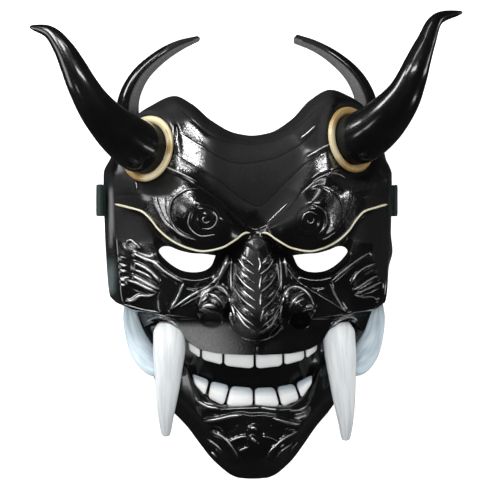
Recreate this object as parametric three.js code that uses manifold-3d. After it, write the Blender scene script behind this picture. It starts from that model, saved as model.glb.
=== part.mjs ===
// An oni mask: a moulded, hollow demon face with horns, fangs, tusks, teeth and an elastic head strap.
// Millimetres. It lies on its back: +Z is where the face looks, +Y is towards the forehead.
// The face is built round its own middle plane, x = 0, and the whole is centred at the end.

import * as THREE from "three";
import { mergeVertices } from "three/addons/utils/BufferGeometryUtils.js";
import Module from "manifold-3d";

const wasm = await Module();
wasm.setup();

// Driving dimensions
const WALL = 3.2; // wall of the moulded shell
const CAVITY_BACK = -30; // where the tool that hollows the shell ends, behind the rim
const FACE_COLUMNS = 36; // steps across the face
const COLUMN_SPREAD = 0.3; // how much wider the outer steps are than the middle ones
const WALL_STEPS = 2; // steps down the side walls
const GAP = 0.3; // clearance between pieces that meet

const RING_BORE = 16.3; // inside radius of a horn ring
const RING_WIRE = 2.5; // radius of the ring's round section
const RING_TILT = 43; // degrees that a ring's axis leans outwards from +Z
const RING_LIFT = 9; // degrees that the axis leans up towards the forehead

const STRAP_WIDTH = 20.5;
const STRAP_THICK = 1.6;
const STRAP_Y = 27.8; // middle of the strap, level with the temples
const SLOT_HEIGHT = 6; // slot in each flap that the strap passes through
const SLOT_Z = 8.2; // middle of the slot above the rim

const TOOTH_DEPTH = 7; // front to back
const TOOTH_GROOVE = 1.4; // depth of the groove between two teeth
const TOOTH_GAPS = [0, 19, 33.3]; // distances of the grooves from the middle

const LACQUER = { color: 0x0b0b0d, roughness: 0.18, metalness: 0 };
const GOLD = { color: 0xc9a24a, roughness: 0.4, metalness: 0.6 };
const FANG_WHITE = { color: 0xe6ebec, roughness: 0.45, metalness: 0 };
const TUSK_WHITE = { color: 0xc9dbe2, roughness: 0.4, metalness: 0 };
const TOOTH_WHITE = { color: 0xedf1f2, roughness: 0.35, metalness: 0 };
const WEBBING = { color: 0x10201d, roughness: 0.9, metalness: 0 };

// Curves

const clamp = (value, low, high) => Math.min(high, Math.max(low, value));
const mix = (a, b, t) => a + (b - a) * t;
const degrees = (angle) => (angle * Math.PI) / 180;

function ease(from, to, value) {
  const t = clamp((value - from) / (to - from), 0, 1);
  return t * t * (3 - 2 * t);
}

// A smooth curve through [place, value] pairs that never swings past them.
function through(pairs) {
  const slopes = pairs.slice(1).map(([x, y], i) => (y - pairs[i][1]) / (x - pairs[i][0]));
  const tangents = pairs.map((_, i) => {
    const before = slopes[Math.max(0, i - 1)];
    const after = slopes[Math.min(slopes.length - 1, i)];
    return before * after <= 0 ? 0 : (2 * before * after) / (before + after);
  });
  return (x) => {
    const at = clamp(x, pairs[0][0], pairs[pairs.length - 1][0]);
    let i = 0;
    while (i < slopes.length - 1 && at > pairs[i + 1][0]) i++;
    const width = pairs[i + 1][0] - pairs[i][0];
    const t = (at - pairs[i][0]) / width;
    const rise = t * t * (3 - 2 * t);
    const enter = t * (1 - t) * (1 - t) * width;
    const leave = -t * t * (1 - t) * width;
    return mix(pairs[i][1], pairs[i + 1][1], rise) + enter * tangents[i] + leave * tangents[i + 1];
  };
}

// The face is lofted through lines that run across it. Each gives its height up the face (y) and its
// depth (z) against the distance from the middle, out to the edge of the face; steps is the number of
// rows of facets between this line and the next.
const GOLD_LINE = [[0, 6], [6.1, 6.4], [13.4, 1.9], [22.9, -3.2], [33.9, -5.1], [42.6, -3.2], [53.1, 1.9],
  [60.4, 8.3], [66.3, 16], [71.5, 20.5], [80, 23], [88, 25]];
const CHEEK_EDGE = [[0, -62], [12, -58], [20, -53], [33, -47.5], [47, -46], [61, -44], [77, -42],
  [83.7, -38]];
const LIP_EDGE = [[0, -70.8], [20, -70], [34, -67.3], [43, -61.5], [47.5, -55], [55, -50.5], [62, -50],
  [68, -53], [74, -58]];
const LOWER_LIP = [[0, -103], [12, -104], [22, -103.5], [32, -98], [39, -88], [43, -80], [50, -78], [58, -80],
  [63, -82]];
const lowered = (line, by, inset = 0) =>
  line.map(([x, y], i) => [i === line.length - 1 ? x - inset : x, y - by]);

const FACE_LINES = [
  { name: "top edge", steps: 2,
    y: [[0, 69], [11, 70.7], [26, 79], [38.5, 90.7], [50, 96.4], [65, 90.7], [80, 78], [88.5, 57]],
    z: [[0, 54], [26, 55], [50, 55], [65, 48], [80, 38], [88.5, 30]] },
  { name: "rim crease", steps: 3,
    y: [[0, 63], [11, 64.5], [27, 73], [41, 86], [50, 90], [62, 85], [76, 72], [88.3, 54]],
    z: [[0, 71], [26, 70.5], [41, 68], [50, 66], [62, 60], [76, 50], [88.3, 36]] },
  { name: "forehead", steps: 4,
    y: [[0, 40], [14, 42], [28, 52], [42, 64], [57, 70], [70, 66], [80, 58], [88.5, 50]],
    z: [[0, 80], [20, 80.5], [42, 76.5], [54, 72], [68, 62], [80, 51], [88.5, 42]] },
  { name: "brow top", steps: 2,
    y: [[0, 8.5], [5.8, 10.5], [12.2, 16], [20.2, 23.7], [26.9, 30.7], [37.3, 39], [45.8, 44.2], [56.8, 48.6],
      [72, 48], [88.5, 42]],
    z: [[0, 84], [12, 85], [27, 87], [45, 85], [57, 78], [72, 63], [88.5, 46]] },
  { name: "brow lobe", steps: 2,
    y: [[0, 7.3], [8, 9], [20, 13], [34, 18], [48, 24], [62, 32], [75, 36], [88.4, 34]],
    z: [[0, 85], [8, 90], [20, 97], [34, 98], [48, 93], [62, 80], [75, 65], [88.4, 48]] },
  { name: "gold line", steps: 1,
    y: GOLD_LINE,
    z: [[0, 85], [6, 89], [20, 94], [34, 93], [48, 86], [60, 76], [72, 65], [88, 50]] },
  { name: "socket top", steps: 3,
    y: lowered(GOLD_LINE, 3.5),
    z: [[0, 87], [8, 86], [18, 79], [34, 76], [50, 71], [60, 66], [72, 61], [88, 52]] },
  { name: "under the eyes", steps: 7,
    y: [[0, -16], [16, -13], [25, -21], [35, -25], [46, -25.6], [51, -21.8], [63, -14], [76, -9], [87, -5]],
    z: [[0, 90], [16, 88], [25, 84], [46, 85], [51, 82], [63, 76], [76, 68], [87, 58]] },
  { name: "cheek edge", steps: 1,
    y: CHEEK_EDGE,
    z: [[0, 92], [20, 90], [35, 86], [47, 86], [53, 85], [61, 80], [77, 74], [83.7, 70]] },
  { name: "under the cheeks", steps: 2,
    y: lowered(CHEEK_EDGE, 2.6, 3),
    z: [[0, 93], [20, 90], [35, 85], [47, 82], [57, 78], [64, 68], [72, 53], [80.7, 46]] },
  { name: "lip edge", steps: 1,
    y: LIP_EDGE,
    z: [[0, 95], [20, 93], [34, 88], [43, 84], [50, 82], [58, 79], [64, 70], [69, 54], [74, 46]] },
  { name: "behind the lip", steps: 2,
    y: lowered(LIP_EDGE, 1),
    z: [[0, 73], [20, 72], [34, 69], [43, 66], [50, 58], [60, 52], [68, 48], [74, 46]] },
  { name: "mouth floor", steps: 2,
    y: [[0, -88], [20, -87], [35, -80], [43, -72], [52, -68], [62, -68], [69.5, -69]],
    z: [[0, 69], [20, 68], [35, 65], [43, 62], [55, 54], [69.5, 46]] },
  { name: "behind the lower lip", steps: 1,
    y: lowered(LOWER_LIP, -2.4),
    z: [[0, 71], [22, 70], [32, 67], [40, 64], [48, 58], [58, 50], [63, 46]] },
  { name: "lower lip", steps: 2,
    y: LOWER_LIP,
    z: [[0, 86], [22, 85], [32, 80], [39, 75], [43, 71], [50, 62], [63, 46]] },
  { name: "chin crease", steps: 3,
    y: [[0, -111], [10, -110], [20, -111.5], [33, -110], [42, -101], [50, -95], [59.5, -94]],
    z: [[0, 88], [20, 87], [33, 80], [42, 72], [50, 62], [59.5, 46]] },
  { name: "chin", steps: 3,
    y: [[0, -130], [15, -129], [27, -121], [38, -111], [47, -104], [55.5, -101]],
    z: [[0, 92], [15, 88], [27, 78], [38, 66], [47, 56], [55.5, 47]] },
  { name: "bottom edge", steps: 0,
    y: [[0, -150.6], [8, -150.2], [13.4, -148.5], [21.2, -142.7], [26, -138], [33, -129], [41.4, -117.8],
      [49.4, -109.4]],
    z: [[0, 66], [13, 65], [26, 62], [41, 55], [49.4, 48]] },
];
const LEAN = 0.043; // the top of the forehead is higher on the right: mm of height for each mm across
const LEAN_FROM = 68;
const LEAN_FULL = 92;
const FACE_ROWS = FACE_LINES.reduce((sum, line) => sum + line.steps, 0);

const faceLines = FACE_LINES.map((line) => ({
  halfWidth: line.y[line.y.length - 1][0],
  y: through(line.y),
  z: through(line.z),
}));

// Depth of the shell's back rim behind each part of the edge of the face.
const sideRim = through([[-109.4, 38], [-84, 34], [-59, 36], [-44, 40], [-38.5, 34], [-34, 3], [-31, 0],
  [44, 0], [50, 3], [57, 8]]);
const topRim = through([[0, 44], [26, 44], [50, 42], [75, 24], [88.5, 8]]);
const bottomRim = through([[0, 50], [26, 47], [49.4, 38]]);

// How far each side flap stands out past the edge of the face, up its height.
const FLARES = {
  left: through([[-42, 0], [-34, 5], [45, 5], [57, 0]]),
  right: through([[-42, 0], [-34, 5.5], [-18, 6], [-6, 9.5], [8, 7.4], [45, 7.5], [57, 0]]),
};

// Horns and their rings. Each side is hand set, so the two differ a little.
const HORN_RADII = [[0, 15.5], [0.12, 15.5], [0.23, 16.5], [0.32, 15.3], [0.44, 12.7], [0.56, 10.2],
  [0.68, 8.4], [0.8, 6.3], [0.9, 4.2], [0.97, 2.2], [1, 0.8]];
const LEFT_HORN = {
  ring: [-68.2, 60.2, 66],
  rest: [[-81, 66, 79], [-91.5, 74.5, 87], [-101.8, 86.2, 91], [-109.6, 99, 92], [-115.6, 111.5, 89],
    [-121.8, 123.4, 84], [-130, 133.4, 77], [-142.8, 137.5, 68]],
};
const RIGHT_HORN = {
  ring: [63.5, 66.2, 66],
  rest: [[77.5, 73.5, 79], [87, 83.5, 87], [94, 93.5, 91], [99, 104.5, 92], [103.4, 115.5, 89],
    [108.8, 127.5, 84], [116.8, 142.5, 77], [134.6, 148, 68]],
};
const HORN_SECTIONS = 16;
const HORN_SIDES = 12;
const HORN_ROOT = 12; // how far the horn reaches back through its ring
const HORN_STRAIGHT = 7; // how far it goes on straight past the ring

const ringAxis = (sign) =>
  new THREE.Vector3(
    sign * Math.sin(degrees(RING_TILT)),
    Math.sin(degrees(RING_LIFT)),
    Math.cos(degrees(RING_TILT)),
  ).normalize();

// Relief carved on the lofted face

// Each side of the nose ends in a round wing, with a nostril sunk under it.
const WING = { centre: [27, -39], radii: [12, 13], height: 15 };
const NOSTRIL = { centre: [28, -48], radii: [8, 5.5], height: 7 };

// A dome that flattens to nothing at its edge.
function dome(x, y, { centre, radii, height }) {
  const away = Math.hypot((x - centre[0]) / radii[0], (y - centre[1]) / radii[1]);
  return away >= 1 ? 0 : height * (1 - away * away) ** 1.5;
}

const NOSE_TOP = 8; // where the nose runs into the brow
const NOSE_BOTTOM = -63; // where it runs into the upper lip
const NOSE_ROUND = 2.4; // how full the nose's section is
const noseHeight = through([[-63, 0], [-59, 9], [-52, 23], [-44, 25], [-32, 18], [-16, 9], [0, 4], [8, 0]]);
const noseHalfWidth = through([[-63, 12], [-52, 17], [-40, 17.5], [-12, 15], [8, 8]]);

function nose(x, y) {
  const across = Math.abs(x) / noseHalfWidth(y);
  if (across >= 1 || y > NOSE_TOP || y < NOSE_BOTTOM) return 0;
  return noseHeight(y) * (1 - across ** NOSE_ROUND);
}

// The ridges that sweep over each cheek towards the outer edge.
const CHEEK_LEAVES = [
  { from: [77, -8], to: [48, -25], width: 6.5, height: 3 },
  { from: [77, -27], to: [61, -33], width: 6, height: 2.6 },
];

function leaf(x, y, { from, to, width, height }) {
  const alongX = to[0] - from[0];
  const alongY = to[1] - from[1];
  const length = alongX * alongX + alongY * alongY;
  const t = clamp(((x - from[0]) * alongX + (y - from[1]) * alongY) / length, 0, 1);
  const away = Math.hypot(x - from[0] - alongX * t, y - from[1] - alongY * t) / width;
  return away >= 1 ? 0 : height * (1 - away);
}

function relief(x, y) {
  const side = Math.abs(x);
  const leaves = CHEEK_LEAVES.reduce((sum, each) => sum + leaf(side, y, each), 0);
  return Math.max(nose(x, y), dome(side, y, WING)) - dome(side, y, NOSTRIL) + leaves;
}

// The flat seat under each horn's ring, blended into the face round it.
const SEAT_RADIUS = 23;
const SEAT_BLEND = 9;
const SEAT_DROP = RING_WIRE + GAP; // how far the seat lies behind the ring's middle line

function seated(point, horn, sign) {
  const seat = new THREE.Vector3(...horn.ring);
  const axis = ringAxis(sign);
  const off = point.clone().sub(seat);
  const level = seat.z - (off.x * axis.x + off.y * axis.y + SEAT_DROP) / axis.z;
  const away = Math.hypot(off.x / axis.z, off.y);
  return mix(level, point.z, ease(SEAT_RADIUS, SEAT_RADIUS + SEAT_BLEND, away));
}

// Depth of the face at a place given by the column (-1 to 1) and the row (0 at the top edge).
function facePoint(column, row) {
  const side = Math.abs(column);
  const places = faceLines.map((line) => side * line.halfWidth);
  const marks = [];
  let mark = 0;
  FACE_LINES.forEach((line) => {
    marks.push(mark);
    mark += line.steps;
  });
  const x = through(places.map((value, i) => [marks[i], value]))(row);
  const level = through(faceLines.map((line, i) => [marks[i], line.y(places[i])]))(row);
  const y = level + LEAN * Math.sign(column) * x * ease(LEAN_FROM, LEAN_FULL, level);
  const z = through(faceLines.map((line, i) => [marks[i], line.z(places[i])]))(row);
  const point = new THREE.Vector3(Math.sign(column) * x, y, z + relief(x, y));
  point.z = column < 0 ? seated(point, LEFT_HORN, -1) : seated(point, RIGHT_HORN, 1);
  return point;
}

// Back of the shell's outer form, in line with facePoint. From the middle of the face to its edge the depth
// passes from that of the top and bottom rims to that of the side rim; only the outermost columns flare.
const RIM_TURN = [0.5, 0.9];
const FLARE_TURN = [0.9, 1];
const LEAST_WALL = 6; // least depth of the side walls

function rimPoint(front, column, row) {
  const side = Math.abs(front.x);
  const middle = mix(topRim(side), bottomRim(side), row / FACE_ROWS);
  const edge = row === 0 ? topRim(side) : row === FACE_ROWS ? bottomRim(side) : sideRim(front.y);
  const flare = FLARES[column < 0 ? "left" : "right"](front.y) * ease(...FLARE_TURN, Math.abs(column));
  const depth = mix(middle, edge, ease(...RIM_TURN, Math.abs(column)));
  return new THREE.Vector3(front.x + Math.sign(column) * flare, front.y, Math.min(depth, front.z - LEAST_WALL));
}

// Solids

function asGeometry(corners, faces) {
  const geometry = new THREE.BufferGeometry();
  geometry.setAttribute("position", new THREE.Float32BufferAttribute(corners.flatMap((v) => [v.x, v.y, v.z]), 3));
  geometry.setIndex(faces);
  return geometry;
}

function asSolid(geometry) {
  const bare = geometry.clone();
  bare.deleteAttribute("normal");
  bare.deleteAttribute("uv");
  const merged = mergeVertices(bare, 1e-4);
  const index = merged.index.array;
  const kept = [];
  for (let i = 0; i < index.length; i += 3) {
    const [a, b, c] = [index[i], index[i + 1], index[i + 2]];
    if (a !== b && b !== c && c !== a) kept.push(a, b, c);
  }
  return new wasm.Manifold(
    new wasm.Mesh({
      numProp: 3,
      vertProperties: new Float32Array(merged.attributes.position.array),
      triVerts: new Uint32Array(kept),
    }),
  );
}

function fromSolid(solid) {
  const mesh = solid.getMesh();
  const geometry = new THREE.BufferGeometry();
  geometry.setAttribute("position", new THREE.BufferAttribute(new Float32Array(mesh.vertProperties), 3));
  geometry.setIndex(new THREE.BufferAttribute(new Uint32Array(mesh.triVerts), 1));
  geometry.computeVertexNormals();
  return geometry;
}

const largest = (solid) => solid.decompose().sort((a, b) => b.volume() - a.volume())[0];

// The piece with the neighbour cut away, and a thin gap left all round.
function clearOf(piece, neighbour) {
  const steps = [[1, 0, 0], [-1, 0, 0], [0, 1, 0], [0, -1, 0], [0, 0, 1], [0, 0, -1]];
  const cut = steps.reduce(
    (rest, [x, y, z]) => rest.subtract(asSolid(neighbour.clone().translate(x * GAP, y * GAP, z * GAP))),
    asSolid(piece),
  );
  return fromSolid(largest(cut));
}

// A closed solid between two sheets of the same number of rows and columns, joined round their edges.
// The walls bulge by bulge(t) times the way from the front edge to the back one.
function between(front, back, wallSteps = 1, bulge = (t) => t) {
  const rows = front.length;
  const columns = front[0].length;
  const corners = [...front.flat(), ...back.flat()];
  const faces = [];
  const offset = rows * columns;
  for (let r = 0; r < rows - 1; r++) {
    for (let c = 0; c < columns - 1; c++) {
      const a = r * columns + c;
      const [b, d, e] = [a + 1, a + columns, a + columns + 1];
      const halves = (a, b, d, e) => {
        const falling = corners[a].distanceTo(corners[e]) < corners[b].distanceTo(corners[d]);
        return falling ? [a, d, e, a, e, b] : [a, d, b, b, d, e];
      };
      faces.push(...halves(a, b, d, e));
      faces.push(...halves(offset + a, offset + b, offset + d, offset + e).reverse());
    }
  }
  const border = [];
  for (let c = 0; c < columns - 1; c++) border.push(c);
  for (let r = 0; r < rows - 1; r++) border.push(r * columns + columns - 1);
  for (let c = columns - 1; c > 0; c--) border.push((rows - 1) * columns + c);
  for (let r = rows - 1; r > 0; r--) border.push(r * columns);
  let upper = border;
  for (let step = 1; step <= wallSteps; step++) {
    const last = step === wallSteps;
    const first = corners.length;
    if (!last) {
      border.forEach((i) => {
        const from = corners[i];
        const to = corners[offset + i];
        const t = step / wallSteps;
        const place = from.clone().lerp(to, t);
        place.x = mix(from.x, to.x, bulge(t));
        corners.push(place);
      });
    }
    const lower = border.map((i, n) => (last ? offset + i : first + n));
    border.forEach((_, n) => {
      const m = (n + 1) % border.length;
      faces.push(upper[n], upper[m], lower[n], upper[m], lower[m], lower[n]);
    });
    upper = lower;
  }
  return asGeometry(corners, faces);
}

// A closed tube through places, each [x, y, z], with its half widths there: across is measured along the
// side direction, deep square to it and to the path. The ends close on a point.
function horned(places, radii, side, sections, around, flat = () => 1) {
  const path = new THREE.CatmullRomCurve3(places.map((p) => new THREE.Vector3(...p)));
  const radius = through(radii);
  const corners = [];
  const faces = [];
  for (let s = 0; s <= sections; s++) {
    const t = s / sections;
    const centre = path.getPoint(t);
    const along = path.getTangent(t);
    const across = side.clone().addScaledVector(along, -side.dot(along)).normalize();
    const deep = new THREE.Vector3().crossVectors(along, across);
    for (let k = 0; k < around; k++) {
      const angle = (k * 2 * Math.PI) / around;
      corners.push(
        centre
          .clone()
          .addScaledVector(across, Math.cos(angle) * radius(t))
          .addScaledVector(deep, Math.sin(angle) * radius(t) * flat(t)),
      );
    }
  }
  const start = corners.push(path.getPoint(0)) - 1;
  const end = corners.push(path.getPoint(1)) - 1;
  for (let k = 0; k < around; k++) {
    const next = (k + 1) % around;
    for (let s = 0; s < sections; s++) {
      const [a, b] = [s * around + k, s * around + next];
      faces.push(a, b, a + around, b, b + around, a + around);
    }
    faces.push(start, next, k);
    faces.push(end, sections * around + k, sections * around + next);
  }
  return asGeometry(corners, faces);
}

// Mask shell

const columnPlaces = Array.from({ length: FACE_COLUMNS + 1 }, (_, c) => {
  const even = mix(-1, 1, c / FACE_COLUMNS);
  return mix(even, even ** 3, COLUMN_SPREAD);
});
const facePoints = [];
for (let row = 0; row <= FACE_ROWS; row++) facePoints.push(columnPlaces.map((column) => facePoint(column, row)));
const rimPoints = facePoints.map((line, row) => line.map((point, c) => rimPoint(point, columnPlaces[c], row)));
const WALL_BULGE = 0.6; // under 1 the side walls swell outwards near the face
const outerForm = between(facePoints, rimPoints, WALL_STEPS, (t) => t ** WALL_BULGE);

// The hollow follows every second facet of the face, a wall's thickness under the lowest place nearby.
const EDGE_WALL = 2; // how much thicker the wall is where the face meets the side walls

function hollowForm() {
  const front = [];
  const back = [];
  for (let r = 0; r <= FACE_ROWS; r += 2) {
    const inner = [];
    const far = [];
    for (let c = 0; c <= FACE_COLUMNS; c += 2) {
      const here = facePoints[r][c];
      let lowest = here.z;
      for (let dr = -1; dr <= 1; dr++) {
        for (let dc = -1; dc <= 1; dc++) lowest = Math.min(lowest, facePoints[r + dr]?.[c + dc]?.z ?? here.z);
      }
      const inX = c === 0 || c === FACE_COLUMNS ? WALL : 0;
      const inY = r === 0 ? -WALL : r >= FACE_ROWS - 1 ? WALL : 0;
      const x = here.x - Math.sign(here.x) * inX;
      const z = lowest - WALL - (inX || inY ? EDGE_WALL : 0);
      inner.push(new THREE.Vector3(x, here.y + inY, z));
      const flare = rimPoints[r][c].x - here.x;
      far.push(new THREE.Vector3(x + flare, here.y + inY, CAVITY_BACK));
    }
    front.push(inner);
    back.push(far);
  }
  return between(front, back);
}

// Outline of the right eye hole, seen from the front.
const EYE = [[24.6, -8], [32, -7], [40, -6.5], [48, -4.5], [54, -2.2], [58.5, -2.6], [60.5, -5], [58, -9],
  [52, -14.3], [46, -17.5], [39, -18.6], [32, -17.6], [27.5, -14.5]];
const EYE_TOOL = 140;

function eyeTool(sign) {
  const outline = EYE.map(([x, y]) => new THREE.Vector2(sign * x, y));
  return new THREE.ExtrudeGeometry(new THREE.Shape(outline), { depth: EYE_TOOL, bevelEnabled: false });
}

const FLAP_X = 90; // middle of a flap's wall at the slot
const SLOT_DEPTH = 16; // of the tool that cuts it
const SLOT_WIDTH = STRAP_WIDTH + 3;

function slotTool(sign) {
  const slot = new THREE.BoxGeometry(SLOT_DEPTH, SLOT_WIDTH, SLOT_HEIGHT);
  return slot.translate(sign * FLAP_X, STRAP_Y, SLOT_Z);
}

// The crescent arms that rise behind the forehead, thick at the root and pointed at the free end.
const ARM_PATH = [[-78, 60, 14], [-78.5, 80, 13], [-77, 95, 12], [-70, 109, 11], [-58, 120.6, 10],
  [-45, 128.6, 9], [-30.5, 134, 8]];
const ARM_DEPTH = [[0, 10], [0.2, 9], [0.4, 7.6], [0.6, 6], [0.8, 4.6]]; // half of it, front to back
const ARM_TIPS = { left: 2, right: 3.7 };
const ARM_FLAT = 0.85; // the width seen from the front against the depth
const ARM_SECTIONS = 12;
const ARM_SIDES = 8;

function arm(sign, tip) {
  const places = ARM_PATH.map(([x, y, z]) => [-sign * x, y, z]);
  const forward = new THREE.Vector3(0, 0, 1);
  return horned(places, [...ARM_DEPTH, [1, tip]], forward, ARM_SECTIONS, ARM_SIDES, () => ARM_FLAT);
}

let shell = asSolid(outerForm).add(asSolid(arm(-1, ARM_TIPS.left))).add(asSolid(arm(1, ARM_TIPS.right)));
shell = shell.subtract(asSolid(hollowForm()));
for (const sign of [1, -1]) shell = shell.subtract(asSolid(eyeTool(sign))).subtract(asSolid(slotTool(sign)));
const shellGeometry = fromSolid(largest(shell));

// Horns and rings
const RING_SIDES = 7;
const RING_SECTIONS = 22;

function ring(place, sign) {
  const torus = new THREE.TorusGeometry(RING_BORE + RING_WIRE, RING_WIRE, RING_SIDES, RING_SECTIONS);
  const turn = new THREE.Quaternion().setFromUnitVectors(new THREE.Vector3(0, 0, 1), ringAxis(sign));
  torus.applyQuaternion(turn);
  return torus.translate(...place);
}

function horn(places, sign) {
  const past = (distance) =>
    new THREE.Vector3(...places.ring).addScaledVector(ringAxis(sign), distance).toArray();
  const path = [past(-HORN_ROOT), places.ring, past(HORN_STRAIGHT), ...places.rest];
  return horned(path, HORN_RADII, new THREE.Vector3(0, -0.3, 1), HORN_SECTIONS, HORN_SIDES);
}

// Fangs, tusks and teeth
const LEFT_FANG = [[-54, -53, 70], [-54.2, -62, 79], [-54.9, -75, 84], [-55.8, -92, 85], [-56.6, -108, 83],
  [-56.4, -123, 79]];
const RIGHT_FANG = [[54.5, -53, 70], [54, -62, 79], [54.8, -77, 84], [56.2, -95, 85], [57.6, -111, 83],
  [58.2, -126, 79]];
const FANG_WIDTH = [[0, 8], [0.12, 10.3], [0.3, 10.2], [0.5, 8.6], [0.7, 6.6], [0.86, 4.6], [0.96, 3.2],
  [1, 2]];
const FANG_FLAT = 0.8;
const TUSK = [[51, -84, 61], [59, -82, 62], [66, -76.5, 60], [72, -69, 57], [76.3, -60, 54.5],
  [79.4, -48, 52], [80.5, -38, 50]];
const TUSK_ACROSS = 1.7; // both tusks stand a little to the right of the face's middle plane
const TUSK_WIDTH = [[0, 11], [0.2, 11.5], [0.36, 10.6], [0.5, 8.8], [0.66, 6.8], [0.85, 4.8], [1, 2.6]];
const TUSK_FLAT = 0.42;
const TUSK_TURN = 0.6; // how far the flat of the tusk turns towards the forehead
const TOOTH_SECTIONS = { fang: 11, tusk: 10 };
const TOOTH_SIDES = 10;

const toothFront = through([[0, 86.5], [20, 85], [34, 80.5], [42, 75]]);
const UPPER_TEETH = {
  halfWidth: 42,
  top: through([[0, -69], [20, -68], [34, -65.5], [42, -60.5]]),
  bottom: through([[0, -80], [10, -79.8], [20, -77.5], [33, -73.5], [42, -66.5]]),
};
const LOWER_TEETH = {
  halfWidth: 39,
  top: through([[0, -92], [18, -91.5], [30, -88], [39, -83]]),
  bottom: through([[0, -104], [20, -104.5], [30, -99.5], [36, -92], [39, -86]]),
};
const TOOTH_COLUMNS = 20;
const TOOTH_ROWS = 1;
const GROOVE_HALF_WIDTH = 2.6;

function teeth({ halfWidth, top, bottom }) {
  const front = [];
  const back = [];
  for (let r = 0; r <= TOOTH_ROWS; r++) {
    const inFront = [];
    const behind = [];
    for (let c = 0; c <= TOOTH_COLUMNS; c++) {
      const x = mix(-halfWidth, halfWidth, c / TOOTH_COLUMNS);
      const side = Math.abs(x);
      const y = mix(top(side), bottom(side), r / TOOTH_ROWS);
      const cuts = TOOTH_GAPS.map((gap) => 1 - ease(0, GROOVE_HALF_WIDTH, Math.abs(side - gap)));
      const groove = Math.max(...cuts);
      inFront.push(new THREE.Vector3(x, y, toothFront(side) - TOOTH_GROOVE * groove));
      behind.push(new THREE.Vector3(x, y, toothFront(side) - TOOTH_DEPTH));
    }
    front.push(inFront);
    back.push(behind);
  }
  return between(front, back);
}

// The strap lies flat on the floor behind the face, comes up to each slot and ends on the flap's outside.
const STRAP_RUN = [[0, 0.3], [45, 0.3], [66, 0.8], [77, 3.6], [85, 5.8], [91, 6.6]];
const STRAP_ENDS = {
  left: [[96.2, 8.2], [98.4, 12.5], [98.6, 19], [96.4, 27]],
  right: [[96.6, 8.2], [98.2, 12.5], [97.8, 19], [96.4, 27]],
};
const STRAP_STEPS = 15;

function strap() {
  const half = (end) => {
    const curve = new THREE.SplineCurve([...STRAP_RUN, ...end].map(([x, z]) => new THREE.Vector2(x, z)));
    return curve.getPoints(STRAP_STEPS);
  };
  const left = half(STRAP_ENDS.left).map((p) => new THREE.Vector2(-p.x, p.y));
  const line = [...left.slice(1).reverse(), ...half(STRAP_ENDS.right)];
  const normals = line.map((_, i) => {
    const before = line[Math.max(0, i - 1)];
    const after = line[Math.min(line.length - 1, i + 1)];
    const along = after.clone().sub(before).normalize();
    return new THREE.Vector2(-along.y, along.x);
  });
  const inside = line.map((p, i) => p.clone().addScaledVector(normals[i], STRAP_THICK));
  const outline = [...line, ...inside.reverse()];
  const band = new THREE.ExtrudeGeometry(new THREE.Shape(outline), { depth: STRAP_WIDTH, bevelEnabled: false });
  band.rotateX(Math.PI / 2);
  return band.translate(0, STRAP_Y + STRAP_WIDTH / 2, 0);
}

// The finished group

const mask = new THREE.Group();

function addPiece(name, geometry, finish) {
  const mesh = new THREE.Mesh(geometry, new THREE.MeshStandardMaterial(finish));
  mesh.name = name;
  mask.add(mesh);
  return mesh;
}

addPiece("mask_shell", shellGeometry, LACQUER);
for (const [side, sign, places] of [["left", -1, LEFT_HORN], ["right", 1, RIGHT_HORN]]) {
  const band = fromSolid(asSolid(ring(places.ring, sign)));
  addPiece(side + "_horn", clearOf(horn(places, sign), outerForm), LACQUER);
  addPiece(side + "_horn_ring", clearOf(band, outerForm), GOLD);
}
const across = new THREE.Vector3(1, 0, 0);
for (const [side, sign, places] of [["left", -1, LEFT_FANG], ["right", 1, RIGHT_FANG]]) {
  const fang = horned(places, FANG_WIDTH, across, TOOTH_SECTIONS.fang, TOOTH_SIDES, () => FANG_FLAT);
  addPiece(side + "_fang", clearOf(fang, shellGeometry), FANG_WHITE);
  const tuskPlaces = TUSK.map(([x, y, z]) => [sign * x + TUSK_ACROSS, y, z]);
  const flat = new THREE.Vector3(sign, TUSK_TURN, 0);
  const tusk = horned(tuskPlaces, TUSK_WIDTH, flat, TOOTH_SECTIONS.tusk, TOOTH_SIDES, () => TUSK_FLAT);
  addPiece(side + "_tusk", clearOf(fromSolid(asSolid(tusk)), shellGeometry), TUSK_WHITE);
}
addPiece("upper_teeth", clearOf(teeth(UPPER_TEETH), shellGeometry), TOOTH_WHITE);
addPiece("lower_teeth", clearOf(teeth(LOWER_TEETH), shellGeometry), TOOTH_WHITE);
addPiece("head_strap", strap(), WEBBING);

// The origin is under the middle of the whole mask, on the surface that it lies on.
const box = new THREE.Box3().setFromObject(mask);
mask.position.set(-(box.min.x + box.max.x) / 2, -(box.min.y + box.max.y) / 2, -box.min.z);

export default mask;
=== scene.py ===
"""The looks of a moulded oni mask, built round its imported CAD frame.

The mask lies on its back: +Z is where the face looks and +Y points to the forehead. Sizes are in
millimetres in the face's own coordinates, whose origin lies on the face's middle plane, and become
metres in the frame at the last step (see Placement).
"""

import logging
import math
from collections.abc import Callable, Sequence
from dataclasses import dataclass, field, replace
from enum import Enum

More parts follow.
